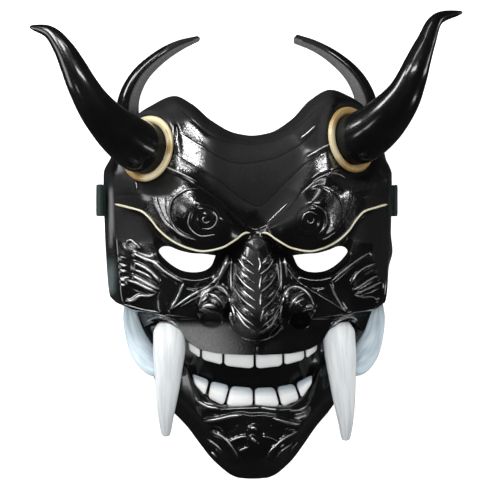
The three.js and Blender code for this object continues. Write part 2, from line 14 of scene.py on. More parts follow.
import bpy
import numpy as np
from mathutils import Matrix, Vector

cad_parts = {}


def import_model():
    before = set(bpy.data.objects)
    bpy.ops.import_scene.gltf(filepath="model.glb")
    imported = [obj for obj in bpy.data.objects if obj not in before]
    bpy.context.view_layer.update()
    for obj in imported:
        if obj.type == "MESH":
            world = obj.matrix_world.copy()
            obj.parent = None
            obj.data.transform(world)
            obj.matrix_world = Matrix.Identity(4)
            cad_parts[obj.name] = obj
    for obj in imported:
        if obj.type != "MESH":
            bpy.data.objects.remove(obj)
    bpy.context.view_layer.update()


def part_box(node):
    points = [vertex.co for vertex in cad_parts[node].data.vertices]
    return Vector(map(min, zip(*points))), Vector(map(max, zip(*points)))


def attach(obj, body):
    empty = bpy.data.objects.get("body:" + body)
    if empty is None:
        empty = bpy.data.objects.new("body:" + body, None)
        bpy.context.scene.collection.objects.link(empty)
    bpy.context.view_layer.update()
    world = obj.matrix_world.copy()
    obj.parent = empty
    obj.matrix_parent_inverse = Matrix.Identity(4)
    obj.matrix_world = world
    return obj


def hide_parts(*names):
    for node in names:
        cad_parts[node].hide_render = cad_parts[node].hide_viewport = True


MM = 0.001
BODY = "root"
MERGE = 1e-6  # corners nearer than this, in metres, become one
LINE_ANGLE = 60.0  # sharpest edge that stays smooth on a thin line, in degrees
LOG = logging.getLogger("oni_mask")

Array = np.ndarray
Pair = tuple[float, float]
Place = tuple[float, float, float]
Colour = tuple[float, float, float, float]
Spot = tuple[Pair, Pair]  # an ellipse's centre and radii
Span = tuple[Pair, Pair]  # where a value fades in and where it fades out
Sockets = dict[str, bpy.types.NodeSocket]


# Curves


def rise(low: float, high: float, value: Array) -> Array:
    """Go smoothly from 0 at low to 1 at high.

    Args:
        low: value where the rise starts.
        high: value where it ends.
        value: values to look up.

    Returns:
        The height of the rise at each value.
    """
    t = np.clip((np.asarray(value, float) - low) / (high - low), 0, 1)
    return t * t * (3 - 2 * t)


def within(span: Span, value: Array) -> Array:
    """Give 1 well inside a span and 0 well outside it."""
    return rise(*span[0], value) * rise(*span[1], value)


def monotone(places: Array, values: Array, at: Array) -> Array:
    """Run smooth curves through values without swinging past them.

    Args:
        places: increasing places, one for each row of values.
        values: one column for each curve.
        at: places to look up.

    Returns:
        The curves' values, one row for each place looked up.
    """
    slopes = np.diff(values, axis=0) / np.diff(places)[:, None]
    before = np.vstack([slopes[:1], slopes])
    after = np.vstack([slopes, slopes[-1:]])
    same_way = before * after > 0
    tangents = np.where(same_way, 2 * before * after / np.where(same_way, before + after, 1), 0)
    at = np.clip(at, places[0], places[-1])
    i = np.clip(np.searchsorted(places, at, side="left") - 1, 0, len(places) - 2)
    width = (places[i + 1] - places[i])[:, None]
    t = (at - places[i])[:, None] / width
    up = t * t * (3 - 2 * t)
    enter = t * (1 - t) ** 2 * width
    leave = -t * t * (1 - t) * width
    return values[i] * (1 - up) + values[i + 1] * up + enter * tangents[i] + leave * tangents[i + 1]


class Profile:
    """A smooth curve of one value against another that never swings past its points."""

    def __init__(self, *pairs: Pair) -> None:
        """Keep the curve's points, each (place, value)."""
        self.places = np.array([p for p, _ in pairs], float)
        self.values = np.array([v for _, v in pairs], float)

    def __call__(self, at: Array | float) -> Array:
        """Look the curve up at each place."""
        at = np.asarray(at, float)
        return monotone(self.places, self.values[:, None], at.ravel())[:, 0].reshape(at.shape)


def even_profile(pairs: tuple[Pair, ...]) -> Profile:
    """Make a profile that is level at 0, so that both sides of the face meet there without a crease."""
    place, value = pairs[1]
    return Profile((-place, value), *pairs)


def spline(points: Sequence[Sequence[float]], at: Array) -> Array:
    """Run a centripetal Catmull-Rom curve through points, as the CAD paths do.

    Args:
        points: the points, in two or three dimensions.
        at: places along the curve, 0 to 1, equal steps from point to point.

    Returns:
        One point for each place.
    """
    p = np.array(points, float)
    p = np.vstack([2 * p[0] - p[1], p, 2 * p[-1] - p[-2]])
    run = np.clip(at, 0, 1) * (len(points) - 1)
    i = np.minimum(run.astype(int), len(points) - 2)
    t = (run - i)[:, None]
    gaps = np.sqrt(np.linalg.norm(np.diff(p, axis=0), axis=1))[:, None]
    a, b, c, d = p[i], p[i + 1], p[i + 2], p[i + 3]
    ab, bc, cd = gaps[i], gaps[i + 1], gaps[i + 2]
    enter = ((b - a) / ab - (c - a) / (ab + bc) + (c - b) / bc) * bc
    leave = ((c - b) / bc - (d - b) / (bc + cd) + (d - c) / cd) * bc
    bend = -3 * b + 3 * c - 2 * enter - leave
    twist = 2 * b - 2 * c + enter + leave
    return b + enter * t + bend * t**2 + twist * t**3


# The face's large form, the same loft as the CAD shell's


@dataclass(frozen=True)
class FaceLine:
    """A line across the face that the loft runs through.

    Height and depth are against the distance from the middle. Coarse is the number of facet rows that the CAD
    has up to the next line, and fine the number of mesh rows here.
    """

    coarse: int
    fine: int
    height: tuple[Pair, ...]
    depth: tuple[Pair, ...]


def lowered(line: tuple[Pair, ...], by: float, inset: float = 0) -> tuple[Pair, ...]:
    """Copy a line further down the face, with its outer end moved in by inset."""
    last = len(line) - 1
    return tuple((x - inset if i == last else x, y - by) for i, (x, y) in enumerate(line))


BROW_LINE: tuple[Pair, ...] = (
    (0, 6), (6.1, 6.4), (13.4, 1.9), (22.9, -3.2), (33.9, -5.1), (42.6, -3.2), (53.1, 1.9), (60.4, 8.3),
    (66.3, 16), (71.5, 20.5), (80, 23), (88, 25),
)
CHEEK_EDGE: tuple[Pair, ...] = (
    (0, -62), (12, -58), (20, -53), (33, -47.5), (47, -46), (61, -44), (77, -42), (83.7, -38),
)
LIP_EDGE: tuple[Pair, ...] = (
    (0, -70.8), (20, -70), (34, -67.3), (43, -61.5), (47.5, -55), (55, -50.5), (62, -50), (68, -53),
    (74, -58),
)
LOWER_LIP: tuple[Pair, ...] = (
    (0, -103), (12, -104), (22, -103.5), (32, -98), (39, -88), (43, -80), (50, -78), (58, -80), (63, -82),
)
FACE_LINES: tuple[FaceLine, ...] = (
    FaceLine(  # top edge
        2, 8,
        ((0, 69), (11, 70.7), (26, 79), (38.5, 90.7), (50, 96.4), (65, 90.7), (80, 78), (88.5, 57)),
        ((0, 54), (26, 55), (50, 55), (65, 48), (80, 38), (88.5, 30)),
    ),
    FaceLine(  # rim crease
        3, 18,
        ((0, 63), (11, 64.5), (27, 73), (41, 86), (50, 90), (62, 85), (76, 72), (88.3, 54)),
        ((0, 71), (26, 70.5), (41, 68), (50, 66), (62, 60), (76, 50), (88.3, 36)),
    ),
    FaceLine(  # forehead
        4, 26,
        ((0, 40), (14, 42), (28, 52), (42, 64), (57, 70), (70, 66), (80, 58), (88.5, 50)),
        ((0, 80), (20, 80.5), (42, 76.5), (54, 72), (68, 62), (80, 51), (88.5, 42)),
    ),
    FaceLine(  # brow top
        2, 26,
        ((0, 8.5), (5.8, 10.5), (12.2, 16), (20.2, 23.7), (26.9, 30.7), (37.3, 39), (45.8, 44.2),
         (56.8, 48.6),
         (72, 48), (88.5, 42)),
        ((0, 84), (12, 85), (27, 87), (45, 85), (57, 78), (72, 63), (88.5, 46)),
    ),
    FaceLine(  # brow lobe
        2, 28,
        ((0, 7.3), (8, 9), (20, 13), (34, 18), (48, 24), (62, 32), (75, 36), (88.4, 34)),
        ((0, 85), (8, 90), (20, 97), (34, 98), (48, 93), (62, 80), (75, 65), (88.4, 48)),
    ),
    FaceLine(  # gold line
        1, 7,
        BROW_LINE,
        ((0, 85), (6, 89), (20, 94), (34, 93), (48, 86), (60, 76), (72, 65), (88, 50)),
    ),
    FaceLine(  # socket top
        3, 22,
        lowered(BROW_LINE, 3.5),
        ((0, 87), (8, 86), (18, 79), (34, 76), (50, 71), (60, 66), (72, 61), (88, 52)),
    ),
    FaceLine(  # under the eyes
        7, 50,
        ((0, -16), (16, -13), (25, -21), (35, -25), (46, -25.6), (51, -21.8), (63, -14), (76, -9), (87, -5)),
        ((0, 90), (16, 88), (25, 84), (46, 85), (51, 82), (63, 76), (76, 68), (87, 58)),
    ),
    FaceLine(  # cheek edge
        1, 6,
        CHEEK_EDGE,
        ((0, 92), (20, 90), (35, 86), (47, 86), (53, 85), (61, 80), (77, 74), (83.7, 70)),
    ),
    FaceLine(  # under the cheeks
        2, 18,
        lowered(CHEEK_EDGE, 2.6, 3),
        ((0, 93), (20, 90), (35, 85), (47, 82), (57, 78), (64, 68), (72, 53), (80.7, 46)),
    ),
    FaceLine(  # lip edge
        1, 4,
        LIP_EDGE,
        ((0, 95), (20, 93), (34, 88), (43, 84), (50, 82), (58, 79), (64, 70), (69, 54), (74, 46)),
    ),
    FaceLine(  # behind the lip
        2, 6,
        lowered(LIP_EDGE, 1),
        ((0, 73), (20, 72), (34, 69), (43, 66), (50, 58), (60, 52), (68, 48), (74, 46)),
    ),
    FaceLine(  # mouth floor
        2, 8,
        ((0, -88), (20, -87), (35, -80), (43, -72), (52, -68), (62, -68), (69.5, -69)),
        ((0, 69), (20, 68), (35, 65), (43, 62), (55, 54), (69.5, 46)),
    ),
    FaceLine(  # behind the lower lip
        1, 5,
        lowered(LOWER_LIP, -2.4),
        ((0, 71), (22, 70), (32, 67), (40, 64), (48, 58), (58, 50), (63, 46)),
    ),
    FaceLine(  # lower lip
        2, 10,
        LOWER_LIP,
        ((0, 86), (22, 85), (32, 80), (39, 75), (43, 71), (50, 62), (63, 46)),
    ),
    FaceLine(  # chin crease
        3, 18,
        ((0, -111), (10, -110), (20, -111.5), (33, -110), (42, -101), (50, -95), (59.5, -94)),
        ((0, 88), (20, 87), (33, 80), (42, 72), (50, 62), (59.5, 46)),
    ),
    FaceLine(  # chin
        3, 20,
        ((0, -130), (15, -129), (27, -121), (38, -111), (47, -104), (55.5, -101)),
        ((0, 92), (15, 88), (27, 78), (38, 66), (47, 56), (55.5, 47)),
    ),
    FaceLine(  # bottom edge
        0, 0,
        ((0, -150.6), (8, -150.2), (13.4, -148.5), (21.2, -142.7), (26, -138), (33, -129), (41.4, -117.8),
         (49.4, -109.4)),
        ((0, 66), (13, 65), (26, 62), (41, 55), (49.4, 48)),
    ),
)


class Side(Enum):
    """The two sides of the mask, for someone who looks at it, and the sign of x there."""

    LEFT = -1
    RIGHT = 1


@dataclass(frozen=True)
class RingSeat:
    """Where a horn's ring sits on the forehead, and how it is turned."""

    middle: Place
    side: Side
    tilt: float = 43.0
    lift: float = 9.0

    def axis(self) -> Array:
        """Give the unit direction that the horn leaves the face in.

        Returns:
            A vector of length 1.
        """
        tilt, lift = math.radians(self.tilt), math.radians(self.lift)
        axis = np.array([self.side.value * math.sin(tilt), math.sin(lift), math.cos(tilt)])
        return axis / np.linalg.norm(axis)


RING_SEATS: dict[Side, RingSeat] = {
    Side.LEFT: RingSeat((-68.2, 60.2, 66), Side.LEFT),
    Side.RIGHT: RingSeat((63.5, 66.2, 66), Side.RIGHT),
}


@dataclass(frozen=True)
class FaceForm:
    """The large form of the face: a loft through the face lines, with the nose and the ring seats."""

    lean: float = 0.043
    lean_rise: Pair = (68, 92)
    seat_radius: float = 23.0
    seat_blend: float = 9.0
    seat_drop: float = 2.8
    nose_power: float = 2.4
    nose_top: float = 8.0
    nose_bottom: float = -63.0
    nose_height: Profile = Profile(
        (-63, 0), (-59, 9), (-52, 23), (-44, 25), (-32, 18), (-16, 9), (0, 4), (8, 0)
    )
    nose_half_width: Profile = Profile((-63, 3), (-59, 9), (-55, 13), (-52, 15.5), (-40, 17), (-12, 15),
                                       (8, 8))

    def marks(self) -> Array:
        """Give the place of each face line down the face, as the CAD counts it."""
        return np.cumsum([0] + [line.coarse for line in FACE_LINES[:-1]]).astype(float)

    def nose(self, x: Array, y: Array) -> Array:
        """Give how far the nose stands out of the loft at each place.

        Args:
            x: the places' x.
            y: the places' y.

        Returns:
            The height at each place, 0 beside the nose.
        """
        across = np.abs(x) / self.nose_half_width(y)
        on = (across < 1) & (y < self.nose_top) & (y > self.nose_bottom)
        return np.where(on, self.nose_height(y) * (1 - np.minimum(across, 1) ** self.nose_power), 0)

    def seated(self, x: Array, y: Array, z: Array) -> Array:
        """Blend the flat seat under each ring into the face.

        Args:
            x: the places' x.
            y: the places' y.
            z: the face's own height there.

        Returns:
            The height at each place with both seats.
        """
        for side, ring in RING_SEATS.items():
            axis = ring.axis()
            off_x, off_y = x - ring.middle[0], y - ring.middle[1]
            level = ring.middle[2] - (off_x * axis[0] + off_y * axis[1] + self.seat_drop) / axis[2]
            away = np.hypot(off_x / axis[2], off_y)
            free = rise(self.seat_radius, self.seat_radius + self.seat_blend, away)
            z = np.where(x * side.value > 0, level * (1 - free) + z * free, z)
        return z

    def sample(self, columns: Array, rows: Array) -> tuple[Array, Array, Array]:
        """Sample the bare loft.

        Args:
            columns: places across the face, -1 to 1.
            rows: places down the face, as marks gives them.

        Returns:
            x, y and z, each with a line for each row.
        """
        side = np.abs(columns)
        marks = self.marks()
        across = np.array([side * line.height[-1][0] for line in FACE_LINES])
        heights = np.array([even_profile(line.height)(x) for line, x in zip(FACE_LINES, across)])
        depths = np.array([even_profile(line.depth)(x) for line, x in zip(FACE_LINES, across)])
        x = monotone(marks, across, rows) * np.sign(columns)
        y = monotone(marks, heights, rows)
        z = monotone(marks, depths, rows)
        return x, y + self.lean * x * rise(*self.lean_rise, y), z


# Carving


SPIRAL_POINTS = 9  # points of a spiral for each turn
SPIRAL_FLAT = 0.94  # its height against its width
LINE_STEPS = 80  # places of a line that is moved sideways
LINE_POINTS = 6  # straight pieces from one point of a stroke to the next
REACH = 2.2  # widths away from a stroke where its section has died out
BELL_NARROW = 1.6  # how much narrower than its width a groove or round looks
CREST_POWER = 1.4  # over 1 hollows a crest's sides
BLADE_RUN: Pair = (0.12, 0.84)  # part of a half circle that a blade's outline follows: its start and length
BLADE_LEAST = 0.05  # its width at its ends, against the widest
BLADE_ROUND = 0.6  # under 1 makes its outline fuller
BLADE_SQUARE = 3  # how flat its top is
DIAMOND_HALVES: Pair = (7.4, 5.6)
DIAMOND_HEIGHT = 0.9
DIAMOND_EDGE = 4  # how steep its sides are


class Cut(Enum):
    """The section of a carved line."""

    GROOVE = "groove"
    ROUND = "round"
    CREST = "crest"
    STEP = "step"
    BLADE = "blade"


@dataclass(frozen=True)
class Stroke:
    """A line of carving on the face.

    Width is where the section has died away, or nearly so. A step is raised on its left side, seen along the
    stroke, and falls away gently there over fall. Taper is the share of the stroke over which each end fades.
    Edge is the half width of the light metallic line along its top, a painted highlight, and crease that of
    the matte black line at its foot, a painted shade, 0 for none.
    """

    cut: Cut
    points: tuple[Pair, ...]
    width: float
    height: float
    taper: float = 0.15
    fall: float = 6.0
    edge: float = 0.0
    crease: float = 0.0

    def mirrored(self) -> "Stroke":
        """Give the same stroke on the other side of the face.

        Returns:
            The mirror image, a step's points turned round so that the same side stays high.
        """
        points = tuple((-x, y) for x, y in self.points)
        points = points[::-1] if self.cut is Cut.STEP else points
        return replace(self, points=points)


def both(*strokes: Stroke) -> tuple[Stroke, ...]:
    """Give each stroke and its mirror image."""
    return tuple(s for stroke in strokes for s in (stroke, stroke.mirrored()))


def glint(
    points: tuple[Pair, ...], edge: float, width: float = 1.2, height: float = 0.1, taper: float = 0.1
) -> Stroke:
    """Give a low round that shows mostly by the light metallic line on it, a painted highlight."""
    return Stroke(Cut.ROUND, points, width, height, taper, edge=edge)


def spiral(centre: Pair, inner: float, outer: float, start: float, turns: float) -> tuple[Pair, ...]:
    """Lay points along a flat spiral.

    Args:
        centre: its middle.
        inner: radius where it starts.
        outer: radius where it ends.
        start: direction of its inner end, in degrees.
        turns: number of turns, negative for clockwise.

    Returns:
        The points, nine or so to a turn.
    """
    t = np.linspace(0, 1, int(abs(turns) * SPIRAL_POINTS) + 1)
    radius = inner + (outer - inner) * t
    angle = math.radians(start) + turns * 2 * math.pi * t
    x = centre[0] + radius * np.cos(angle)
    y = centre[1] + radius * np.sin(angle) * SPIRAL_FLAT
    return tuple(zip(x, y))


def smooth(points: Sequence[Pair], count: int) -> Array:
    """Run a curve with count places through a line's points. Two points give a straight line as it is."""
    return spline(points, np.linspace(0, 1, count)) if len(points) > 2 else np.array(points, float)


def nearest(points: tuple[Pair, ...], x: Array, y: Array) -> tuple[Array, Array, Array]:
    """Find the nearest place of a smooth line to each point.

    Args:
        points: the line's own points.
        x: the points' x.
        y: the points' y.

    Returns:
        The distance, the side (1 on the left of the line, -1 on the right) and the share of the line passed.
    """
    line = smooth(points, (len(points) - 1) * LINE_POINTS + 1)
    steps = np.linalg.norm(np.diff(line, axis=0), axis=1)
    run = np.concatenate([[0], np.cumsum(steps)])
    best = np.full(x.shape, np.inf)
    side = np.ones(x.shape)
    passed = np.zeros(x.shape)
    for (ax, ay), (bx, by), start, length in zip(line[:-1], line[1:], run, steps):
        ux, uy = (bx - ax) / length, (by - ay) / length
        t = np.clip((x - ax) * ux + (y - ay) * uy, 0, length)
        off_x, off_y = x - ax - ux * t, y - ay - uy * t
        away = off_x * off_x + off_y * off_y
        closer = away < best
        best = np.where(closer, away, best)
        side = np.where(closer, np.where(ux * off_y - uy * off_x >= 0, 1.0, -1.0), side)
        passed = np.where(closer, (start + t) / run[-1], passed)
    return np.sqrt(best), side, passed


def beside(points: tuple[Pair, ...], shift: float) -> Array:
    """Move a smooth line to its right by shift.

    Args:
        points: the line's own points.
        shift: how far it moves.

    Returns:
        The moved line's points.
    """
    line = smooth(points, LINE_STEPS)
    along = np.gradient(line, axis=0)
    along /= np.linalg.norm(along, axis=1)[:, None]
    return line + shift * np.column_stack([along[:, 1], -along[:, 0]])


def carve(stroke: Stroke, x: Array, y: Array) -> Array:
    """Give how far a stroke raises each point of the face.

    Args:
        stroke: the carved line.
        x: the points' x.
        y: the points' y.

    Returns:
        The height at each point, below 0 in a groove.
    """
    reach = REACH * max(stroke.width, stroke.fall if stroke.cut is Cut.STEP else 0)
    corners = np.array(stroke.points)
    (x0, y0), (x1, y1) = corners.min(0) - reach, corners.max(0) + reach
    near = (x > x0) & (x < x1) & (y > y0) & (y < y1)
    raised = np.zeros(x.shape)
    if not near.any():
        return raised
    away, side, passed = nearest(stroke.points, x[near], y[near])
    ends = 1.0
    if stroke.taper > 0:
        ends = rise(0, stroke.taper, passed) * rise(0, stroke.taper, 1 - passed)
    if stroke.cut in (Cut.GROOVE, Cut.ROUND):
        way = -1 if stroke.cut is Cut.GROOVE else 1
        shape = way * np.exp(-((away / stroke.width * BELL_NARROW) ** 2))
    elif stroke.cut is Cut.CREST:
        shape = np.clip(1 - away / stroke.width, 0, 1) ** CREST_POWER
    elif stroke.cut is Cut.STEP:
        shape = np.where(side > 0, np.exp(-((away / stroke.fall) ** 2)), 1 - rise(0, stroke.width, away))
    else:
        bow = np.sin(math.pi * (BLADE_RUN[0] + BLADE_RUN[1] * passed))
        half = stroke.width * np.clip(bow, BLADE_LEAST, 1) ** BLADE_ROUND
        shape = np.clip(1 - (away / half) ** BLADE_SQUARE, 0, 1)
    raised[near] = stroke.height * shape * ends
    return raised


# Lines of the forehead and brow
LEFT_PLATE_EDGE: tuple[Pair, ...] = (
    (-74, 50), (-66, 49.5), (-58.3, 47.5), (-49.8, 43.6), (-41.6, 39.2), (-35.9, 36), (-27, 30.3),
    (-18.7, 23.4), (-10.2, 15.4), (-5.1, 10.8),
)
RIGHT_PLATE_EDGE: tuple[Pair, ...] = (
    (6, 10.4), (12, 14.9), (19.3, 21.5), (23.8, 26.6), (28.2, 32.9), (32.7, 38), (41.6, 44.3), (47.3, 46.6),
    (55.6, 48.8), (64, 50), (72, 50.5),
)
FOREHEAD: tuple[Stroke, ...] = (
    Stroke(
        Cut.GROOVE,
        ((-50, 88), (-44.9, 82.9), (-37, 76), (-29.5, 69.5), (-21.2, 65.7), (-9.3, 63.4), (2, 63.2), (12, 65),
         (20, 68.6), (27, 73), (35, 80), (43, 88)),
        1.8, 0.25, 0.04, crease=0.4,
    ),
    Stroke(
        Cut.GROOVE,
        ((-46.9, 70.3), (-41.2, 66.5), (-32.3, 60.9), (-24, 55.2), (-15.4, 51.8), (-6.8, 50.7), (5.2, 52.4),
         (14.2, 54.6), (21.2, 58), (30.1, 63.5), (39, 71.8)),
        1.8, 0.25, 0.05, crease=0.55,
    ),
    Stroke(
        Cut.GROOVE,
        ((-51.5, 56.9), (-41.4, 50.6), (-31.2, 44.9), (-19.8, 37.3), (-11.6, 30.7), (-3, 25.2), (1.5, 23.6),
         (6, 25.4), (16.4, 35.5), (20.9, 39.9), (30.8, 49.4), (36.4, 53.3), (48.2, 60.3)),
        1.8, 0.25, 0.05, crease=0.55,
    ),
    Stroke(Cut.ROUND, ((29.5, 66.5), (34.5, 70.4), (39.5, 75)), 1.6, 0.2, 0.1, edge=0.6),
    Stroke(Cut.ROUND, ((33, 54.6), (41.5, 59.4), (48.5, 63.4)), 1.6, 0.2, 0.1, edge=0.6),
    Stroke(Cut.STEP, LEFT_PLATE_EDGE, 1.7, 0.9, 0.05, 9.0, crease=0.6),
    Stroke(Cut.STEP, RIGHT_PLATE_EDGE, 1.7, 0.8, 0.05, 10.0, crease=0.5),
    glint(((-57.6, 49), (-45.6, 43), (-36.6, 38.2)), 0.6),
    glint(((7.6, 12.6), (14.6, 19.4), (20.6, 25.6)), 0.4),
)
LEFT_SPIRAL: Pair = (-32.2, 14.8)
RIGHT_SPIRAL: Pair = (34, 14.3)
SPIRALS: tuple[Stroke, ...] = (
    Stroke(Cut.GROOVE, spiral(LEFT_SPIRAL, 1.8, 12.8, 200, 2.3), 1.8, 0.5, 0.02, crease=0.5),
    Stroke(Cut.GROOVE, spiral(RIGHT_SPIRAL, 1.8, 13, -20, -2.3), 1.8, 0.5, 0.02, crease=0.5),
    *(
        glint(spiral(*arc), edge, taper=0.2)
        for *arc, edge in (
            (LEFT_SPIRAL, 6.4, 7.4, 250, 0.45, 0.42),
            (LEFT_SPIRAL, 11, 11.8, 150, 0.42, 0.42),
            (LEFT_SPIRAL, 1.6, 2.6, 90, 0.7, 0.42),
            (RIGHT_SPIRAL, 5.4, 5.6, 40, 0.4, 0.36),
            (RIGHT_SPIRAL, 10.6, 10.8, -60, 0.4, 0.42),
            (RIGHT_SPIRAL, 1.8, 2.2, 180, 0.6, 0.36),
        )
    ),
)
BROWS: tuple[Stroke, ...] = (
    Stroke(
        Cut.STEP,
        ((-38, 1.8), (-44, 3.8), (-50, 8.1), (-53.4, 13.5), (-54.5, 19.5), (-52.9, 27.1), (-48, 31.6),
         (-42.1, 34), (-36, 34.4)),
        1.6, 0.8, 0.08, 5.0, edge=0.35, crease=0.5,
    ),
    Stroke(
        Cut.STEP,
        ((-42.7, 2.5), (-48, 5.5), (-52.8, 9.4), (-57.3, 14.4), (-59.8, 19.6), (-61.8, 25), (-63, 29.7)),
        1.4, 0.7, 0.1, 3.0, edge=0.3, crease=0.45,
    ),
    Stroke(Cut.GROOVE, ((-56.5, 31), (-57.2, 26), (-56.6, 20), (-54, 14)), 1.4, 0.3, 0.2, crease=0.4),
    Stroke(
        Cut.STEP,
        ((33.5, 35), (40.5, 36.3), (46.9, 34.1), (52.6, 29.1), (55.6, 22.5), (55, 13.5), (50, 7), (44, 3.2),
         (38, 1.8)),
        1.6, 0.5, 0.08, 5.0, crease=0.5,
    ),
    Stroke(
        Cut.STEP,
        ((46.5, 43.8), (53, 43.2), (58.5, 40.8), (62.5, 36.5), (63, 29), (60, 20), (54, 11), (46, 4)),
        1.4, 0.35, 0.1, 3.0, crease=0.5,
    ),
    glint(((46.5, 44.4), (53, 43.8), (58.5, 41.4)), 0.45),
    Stroke(Cut.ROUND, ((60.1, 36.2), (60.4, 30), (59.5, 26), (56.9, 14.9)), 1.5, 0.2, 0.2, crease=0.4),
    Stroke(Cut.ROUND, ((66.5, 32), (65.2, 26.1), (62, 19)), 1.5, 0.2, 0.2, crease=0.4),
    glint(((-51.5, 75.5), (-52, 66), (-54, 58)), 0.4),
    glint(((-49.3, 74), (-49, 68), (-50.5, 62)), 0.3),
)
RING_FOLDS: tuple[tuple[Pair, Pair, Pair], ...] = (
    ((-80, 41), (-79, 37), (-79.4, 33.5)),
    ((-76, 40), (-74.6, 36.5), (-75, 32.8)),
    ((-71.5, 39), (-70.6, 36), (-71.4, 33)),
    ((-67.5, 37.5), (-66.6, 35), (-67.6, 32)),
    ((-63.6, 37), (-62, 34.4), (-62.8, 31.4)),
)
TEMPLES: tuple[Stroke, ...] = (
    *both(*(Stroke(Cut.ROUND, fold, 1.5, 0.8, 0.25) for fold in RING_FOLDS)),
    *both(
        Stroke(Cut.GROOVE, ((-90, 31), (-84, 30.4), (-78, 30.8), (-70, 29.6), (-64, 28.6)), 1.5, 0.3, 0.15)
    ),
    Stroke(Cut.ROUND, ((-69.4, 39.6), (-66, 40.6), (-61.6, 45.6)), 1.2, 0.6, 0.15, edge=0.4),
    Stroke(Cut.ROUND, ((-75.4, 39.4), (-74.2, 36.6), (-74.6, 33.6)), 1.2, 0.6, 0.15, edge=0.4),
)

# Lines of the eyes and cheeks
EYES: tuple[Stroke, ...] = both(
    Stroke(
        Cut.ROUND,
        ((25, -20), (32, -23.4), (39, -24.3), (46, -23), (53, -19.4), (60, -13.4), (65, -7)),
        3.4, 1.4,
    ),
    Stroke(Cut.GROOVE, ((24, -24.5), (32, -27.6), (39, -28.4), (46, -27.2)), 1.6, 0.8),
)
CHEEKS: tuple[Stroke, ...] = (
    Stroke(
        Cut.CREST,
        ((-77.3, -6.4), (-69.9, -10), (-63.9, -12.4), (-57.6, -17.8), (-51.9, -21.6), (-45.6, -25)),
        2.5, 1.0, 0.06, edge=0.75,
    ),
    Stroke(
        Cut.CREST,
        ((-45.4, -25.2), (-48.9, -33.6), (-52.1, -39.3), (-54, -42.2)),
        2.5, 1.0, 0.06, edge=0.75,
    ),
    Stroke(
        Cut.CREST,
        ((-53.5, -41.9), (-39.5, -32.7), (-30.6, -27.7), (-24.9, -23.2), (-19.4, -16.9), (-16, -11.3)),
        2.4, 1.0, 0.06, edge=0.7,
    ),
    glint(((-48, -40.6), (-36, -33.6), (-28.4, -29.4), (-23.4, -24.6)), 0.4, 1.4, 0.5),
    Stroke(Cut.CREST, ((75.5, -5.4), (64.1, -12.1), (56, -18), (47.5, -25.2)), 2.5, 1.0, 0.06, edge=0.5),
    Stroke(
        Cut.CREST,
        ((47.5, -25.5), (50.1, -31.8), (55.8, -41.4), (58.4, -43.9)),
        2.5, 1.0, 0.06, edge=0.65,
    ),
    Stroke(
        Cut.CREST,
        ((57, -43), (41, -33.4), (32, -28), (25.6, -22.8), (20.6, -16.8), (17.4, -11)),
        2.4, 1.0, 0.06, edge=0.3,
    ),
    Stroke(
        Cut.STEP,
        ((-59.9, -25.8), (-62.8, -21.6), (-65.7, -18.5), (-69.7, -15.7), (-77, -12)),
        1.5, 2.2, 0.12, 3.4, 0.9,
    ),
    Stroke(Cut.STEP, ((-60.4, -29.6), (-63.7, -28.2), (-69.7, -25), (-78, -20.4)), 1.5, 2.2, 0.12, 3.4, 0.9),
    Stroke(Cut.STEP, ((-61.6, -31.6), (-67, -29.4), (-75, -25.6), (-82, -23)), 1.4, 1.8, 0.15, 2.6, 0.8),
    Stroke(Cut.ROUND, ((-65, -22.6), (-69.7, -19.6), (-76, -17)), 1.3, 0.6, 0.1, edge=0.6),
    Stroke(
        Cut.CREST,
        ((-62.4, -31.8), (-67.5, -33.7), (-72.9, -33.7), (-77.7, -36.9), (-82.1, -36.9)),
        2.0, 1.4, edge=0.7,
    ),
    Stroke(
        Cut.CREST,
        ((-81.6, -2.3), (-80.3, 0.9), (-78.3, 1.9), (-75, -0.8), (-71.7, -3.8)),
        2.0, 1.4, edge=0.6,
    ),
    Stroke(
        Cut.STEP,
        ((79, -12.8), (71.6, -15.4), (66.6, -18.6), (63.4, -22.4), (61, -26.6)),
        1.5, 2.2, 0.12, 3.4, 0.5,
    ),
    Stroke(Cut.STEP, ((80, -20.2), (73, -24), (66.4, -28.2), (62, -30.4)), 1.5, 2.2, 0.12, 3.4, 0.6),
    Stroke(Cut.STEP, ((83, -24.4), (76, -27.4), (69, -30.6), (63.4, -33)), 1.4, 1.8, 0.15, 2.6, 0.5),
    Stroke(Cut.CREST, ((63.4, -33), (69, -34.6), (75.4, -34.4), (80, -37.4)), 2.0, 1.4, edge=0.5),
)
CHEEK_RIBS: tuple[Stroke, ...] = tuple(
    Stroke(Cut.ROUND, ((-86.5, y), (-83.5, y - 1.6), (-80.6, y - 1.2)), 1.3, 0.4, 0.25)
    for y in (-8.5, -13.4, -17, -22.6, -26)
)

# Lines of the nose


